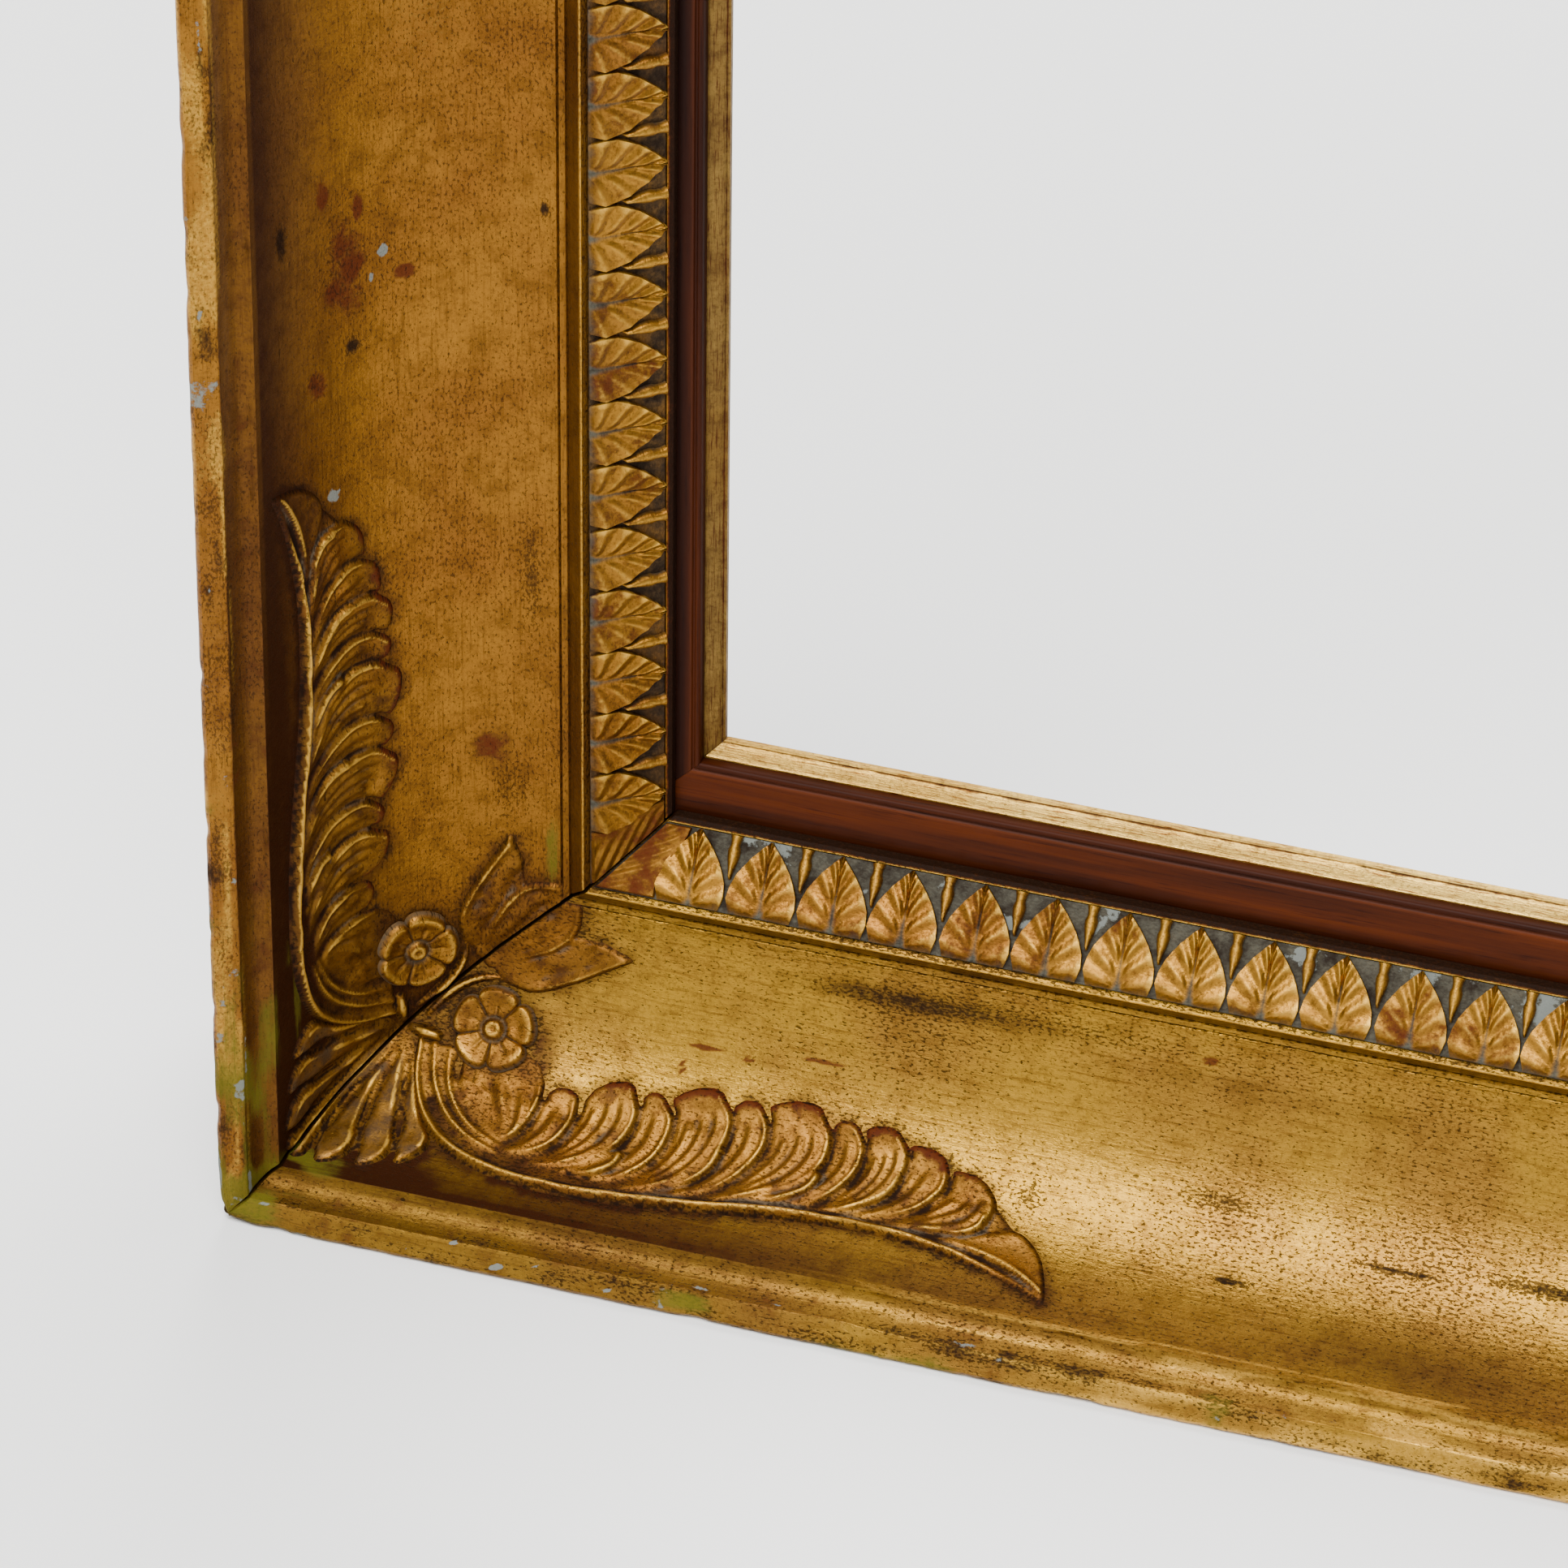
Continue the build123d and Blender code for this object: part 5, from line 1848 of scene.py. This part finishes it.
@dataclass
class Liner:
    """Mahogany liner with its gilt slips, as mitred bars; lengths in millimetres.

    Attributes:
        rails: the liner's four sides.
        around: the frame's four sides.
        lip_edge: from the frame's outer edge to its sight lip, near which the liner is painted darker as
            painted shade.
        wood: finish of the bars.
        gilt: finish of the slips.
        width: width of a bar.
        wall: width of its part behind the slip.
        front: front of a bar, from the frame's back.
        back: back of a bar.
        lip: thickness of the edge that the slip lies behind.
        showing: width of the slip that shows.
        slip_drop: how far the slip slopes back.
        slip_edge: thickness of its inner edge.
    """

    rails: dict[Side, Rail]
    around: dict[Side, Rail]
    lip_edge: float
    wood: Material
    gilt: Material
    width: float = 18.0
    wall: float = 11.5
    front: float = 19.8
    back: float = 0.3
    lip: float = 3.0
    showing: float = 4.4
    slip_drop: float = 1.9
    slip_edge: float = 1.5

    def build(self) -> None:
        """Builds the bars and slips of all sides."""
        bar, slip = self.bar_outline(), self.slip_outline()
        for rail in self.rails.values():
            self.build_bar(rail, "polished_liner", "liner", self.wood, "mahogany", bar)
            self.build_bar(rail, "gilt_sight_slip", "gilt_slip", self.gilt, "slip_gilding", slip)

    def bar_outline(self) -> Points:
        """Section of a mahogany bar.

        Returns:
            Points from its outer back edge round and back to it.
        """
        f, w, low = self.front, self.width, self.front - self.lip
        return [
            (0, self.back), (0, f - 0.5), (0.15, f - 0.15), (0.5, f),
            *((x, f) for x in np.linspace(2, w - 2.8, 12)), (w - 2.3, f), (w - 2.1, f - 0.05),
            (w - 1.8, f - 0.45), (w - 1.5, f - 0.5), (w - 1.25, f - 0.1), (w - 1.0, f),
            (w - 0.5, f - 0.12), (w - 0.15, f - 0.5), (w, f - 1.0), (w, low),
            (self.wall, low), (self.wall, self.back), (0, self.back),
        ]

    def slip_outline(self) -> Points:
        """Section of a gilt slip.

        Returns:
            Points from its outer back edge round and back to it.
        """
        top, w, inner = self.front - self.lip, self.width, self.width + self.showing
        low, first = top - self.slip_drop, self.wall + 0.1
        back = low - self.slip_edge
        return [
            (first, back), (first, top), (w - 0.1, top), (w + 0.35, top), (w + 0.6, top - 0.25),
            (w + 1.2, top - 0.5), (w + 2.6, top - 1.1), (inner - 1.0, low + 0.25), (inner - 0.75, low - 0.1),
            (inner - 0.45, low), (inner, low - 0.2), (inner, back), (first, back),
        ]

    def build_bar(
        self, rail: Rail, name: str, node: str, finish: Material, slot: str, outline: Points
    ) -> None:
        """Builds one mitred bar.

        Args:
            rail: the side.
            name: name of the piece.
            node: first part of the CAD node's name.
            finish: its material.
            slot: its material slot.
            outline: its section.
        """
        points = np.array(outline)
        lengths = lengths_of(points)
        columns, rows = round(rail.half / 6), len(points) - 1
        gilt = slot == "slip_gilding"
        inset = float(np.dot(rail.place(0, 0, 0) - self.around[rail.side].place(0, 0, 0), rail.inward)) / MM
        upright = rail.upright

        def shape(u: Array, v: Array) -> Skin:
            """Turns a grid into the bar.

            Args:
                u: shares along it.
                v: shares round its section.

            Returns:
                The skin of each vertex.
            """
            j = np.rint(v * rows).astype(int)
            inward, forward = points[j, 0], points[j, 1]
            along = (2 * u - 1) * (rail.half - inward - 0.05)
            # The bar is painted darker near the lip and on the uprights as painted shade, darker on its nose
            # as a painted dark reflection, and lighter on the ridge as a painted highlight; the slip is
            # painted darker on the uprights as painted shade.
            step = bell(inward - (self.width + self.showing - 0.8), 0.2)
            nose = ease(self.width - 1.3, self.width - 1.0, inward)
            ridge = bell(inward - (self.width - 2.3), 0.3)
            painted_shade = 1 - ease(0.0, 4.5, inward + inset - self.lip_edge)
            return Skin(
                places=rail.place(along, inward, forward),
                flats=np.stack([along, lengths[j]], 1) * MM,
                tone=(0.8 if upright else 0.0) if gilt else 0.5 * painted_shade + (0.35 if upright else 0.4 * nose),
                bole=step * (0.2 + 0.7 * patchy(along + 400, inward, 14, 3)) if gilt else 0.0,
                stain=0.5 * step if gilt else 0.0,
                rub=0.0 if gilt else (0.12 if upright else 0.3) * ridge,
            )

        piece = Sculpt(f"{name}_{rail.side.value}")
        piece.lay(columns, rows, shape)
        piece.close()
        piece.finish(finish, slot, f"{node}_{rail.side.value}", crisp=35)


class BackAndHardware:
    """Back boards, pegs, packers, turn buttons and hangers: CAD nodes with their real finishes."""

    ALIKE = {
        "back_board_top": "back_board_bottom",
        "back_board_right": "back_board_left",
        "hanger_screws": "button_screws",
        "liner_nails": "strap_hanger",
    }

    def build(self) -> None:
        """Gives each node its finish."""
        finishes = {
            "back_board_bottom": SawnWood("sawn_pine_rail", (0.05, 1.0, 1.0)),
            "back_board_left": SawnWood("sawn_pine_stile", (1.0, 1.0, 0.05)),
            "lap_pegs": SawnWood("split_oak_peg", (1.0, 0.1, 1.0), "#553A20", "#2C1B0D"),
            "cork_packers": SheetCork(),
            "turn_button": DullMetal("stamped_brass", "#97763A", "#564020", 0.32),
            "button_screws": DullMetal("plated_screw_steel", "#88847C", "#48443C", 0.30),
            "strap_hanger": DullMetal("stamped_steel", "#7C7973", "#46423A", 0.34),
            "hanging_ring": DullMetal("drawn_steel_wire", "#8E8B84", "#524E47", 0.26),
        }
        materials = {key: finish.build() for key, finish in finishes.items()}
        for name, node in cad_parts.items():
            key = self.ALIKE.get(name, name)
            match = next((first for first in materials if key.startswith(first)), None)
            if match is not None:
                node.data.materials.clear()
                node.data.materials.append(materials[match])
                LOG.info("%s: %s", name, materials[match].name)


@dataclass(frozen=True)
class Studio:
    """Pale floor, soft light and the photograph's viewpoint.

    Attributes:
        azimuth: how far round the viewpoint is from the front, in degrees.
        elevation: how far up it is, in degrees.
        roll: how far the camera leans, in degrees.
        distance: from the viewpoint to what it aims at, in metres.
        aim: place that the camera looks at, in metres.
        lens: focal length, in millimetres.
        sensor: width of the film, in millimetres.
        surround: strength of the light from all round.
        floor_half: half the width of the floor, in metres.
    """

    azimuth: float = 17.117
    elevation: float = 36.165
    roll: float = 0.751
    distance: float = 1.7759
    aim: tuple[float, float, float] = (-0.2575, -0.0492, 0.1523)
    lens: float = 193.44
    sensor: float = 36.0
    surround: float = 0.35
    floor_half: float = 8.0

    def build(self) -> None:
        """Builds the floor, the lights and the camera."""
        self.build_floor()
        self.build_lights()
        self.build_camera()

    def build_floor(self) -> None:
        """Lays a wide pale floor under the frame."""
        mesh = bmesh.new()
        bmesh.ops.create_grid(mesh, x_segments=8, y_segments=8, size=self.floor_half)
        data = bpy.data.meshes.new("floor")
        mesh.to_mesh(data)
        mesh.free()
        floor = bpy.data.objects.new("floor", data)
        bpy.context.scene.collection.objects.link(floor)
        data.materials.append(Recipe("matt_white_paint").dress(Base_Color=linear("#FAFAF8"), Roughness=0.9))

    def build_lights(self) -> None:
        """Hangs the lights and sets the pale surround."""
        world = bpy.data.worlds.new("surround")
        world.use_nodes = True
        world.node_tree.nodes["Background"].inputs["Color"].default_value = (1, 1, 1, 1)
        world.node_tree.nodes["Background"].inputs["Strength"].default_value = self.surround
        bpy.context.scene.world = world
        for name, place, aim, power, size in (
            ("overhead", (-0.5, -1.25, 2.5), (-0.25, -0.1, 0.1), 160.0, (2.2, 1.6)),
            ("front_panel", (-0.7, -2.6, 1.0), (-0.3, 0.0, 0.2), 20.0, (1.8, 1.2)),
            ("floor_wash", (0.3, 2.2, 2.4), (0.3, 1.8, 0.0), 200.0, (3.0, 2.0)),
        ):
            light = bpy.data.lights.new(name, "AREA")
            light.shape = "RECTANGLE"
            light.energy = power
            light.size, light.size_y = size
            lamp = bpy.data.objects.new(name, light)
            lamp.location = place
            lamp.rotation_euler = (Vector(aim) - Vector(place)).to_track_quat("-Z", "Y").to_euler()
            bpy.context.scene.collection.objects.link(lamp)

    def build_camera(self) -> None:
        """Sets the camera at the photograph's viewpoint."""
        a, e, c = (math.radians(value) for value in (self.azimuth, self.elevation, self.roll))
        back = Vector((math.sin(a) * math.cos(e), -math.cos(a) * math.cos(e), math.sin(e)))
        right = Vector((math.cos(a), math.sin(a), 0))
        up = back.cross(right)
        side = right * math.cos(c) + up * math.sin(c)
        top = up * math.cos(c) - right * math.sin(c)
        matrix = Matrix((side, top, back)).transposed().to_4x4()
        matrix.translation = Vector(self.aim) + back * self.distance
        data = bpy.data.cameras.new("viewpoint")
        data.lens = self.lens
        data.sensor_width = self.sensor
        data.clip_start = 0.05
        camera = bpy.data.objects.new("viewpoint", data)
        camera.matrix_world = matrix
        bpy.context.scene.collection.objects.link(camera)
        bpy.context.scene.camera = camera


def main() -> None:
    """Builds the dressed frame in order."""
    logging.basicConfig(level=logging.INFO, format="%(message)s")
    gilding = AgedGilding("aged_leaf_gilding", "#947022", "#805B24", 0.25, 0.22, 0.8, 0.55)
    # The upright mouldings' leaf is darker, partly as painted shade.
    toned = AgedGilding("toned_leaf_gilding_painted_shade", "#855A1E", "#70461A", 0.3, 0.28, 0.6, 0.5)
    carving = AgedGilding("gilded_composition", "#8C6222", "#764A1C", 0.8, 0.3, 0.7, 0.0, grime="#4E4436")
    leaves = AgedGilding(
        "gilded_pressed_leaf", "#986B24", "#80521E", 0.5, 0.28, 0.3, 0.0, grime="#45473F", ribbed=True
    )
    bright = AgedGilding(
        "bright_slip_gilding", "#D8B25C", "#B48A3A", 0.1, 0.22, 0.15, 1.0, line="#622812", line_gap=0.4
    )
    rails = rails_of("back_board_left", "back_board_right")
    section = CoveMoulding()
    finishes = (finish.build() for finish in (gilding, toned, carving, leaves))
    GildedFrame(rails, section, CornerOrnament(), *finishes).build()
    woods = (finish.build() for finish in (PolishedMahogany(), bright))
    Liner(rails_of("liner_left", "liner_right"), rails, section.lip[0], *woods).build()
    BackAndHardware().build()
    Studio().build()


if __name__ == "__main__":
    main()
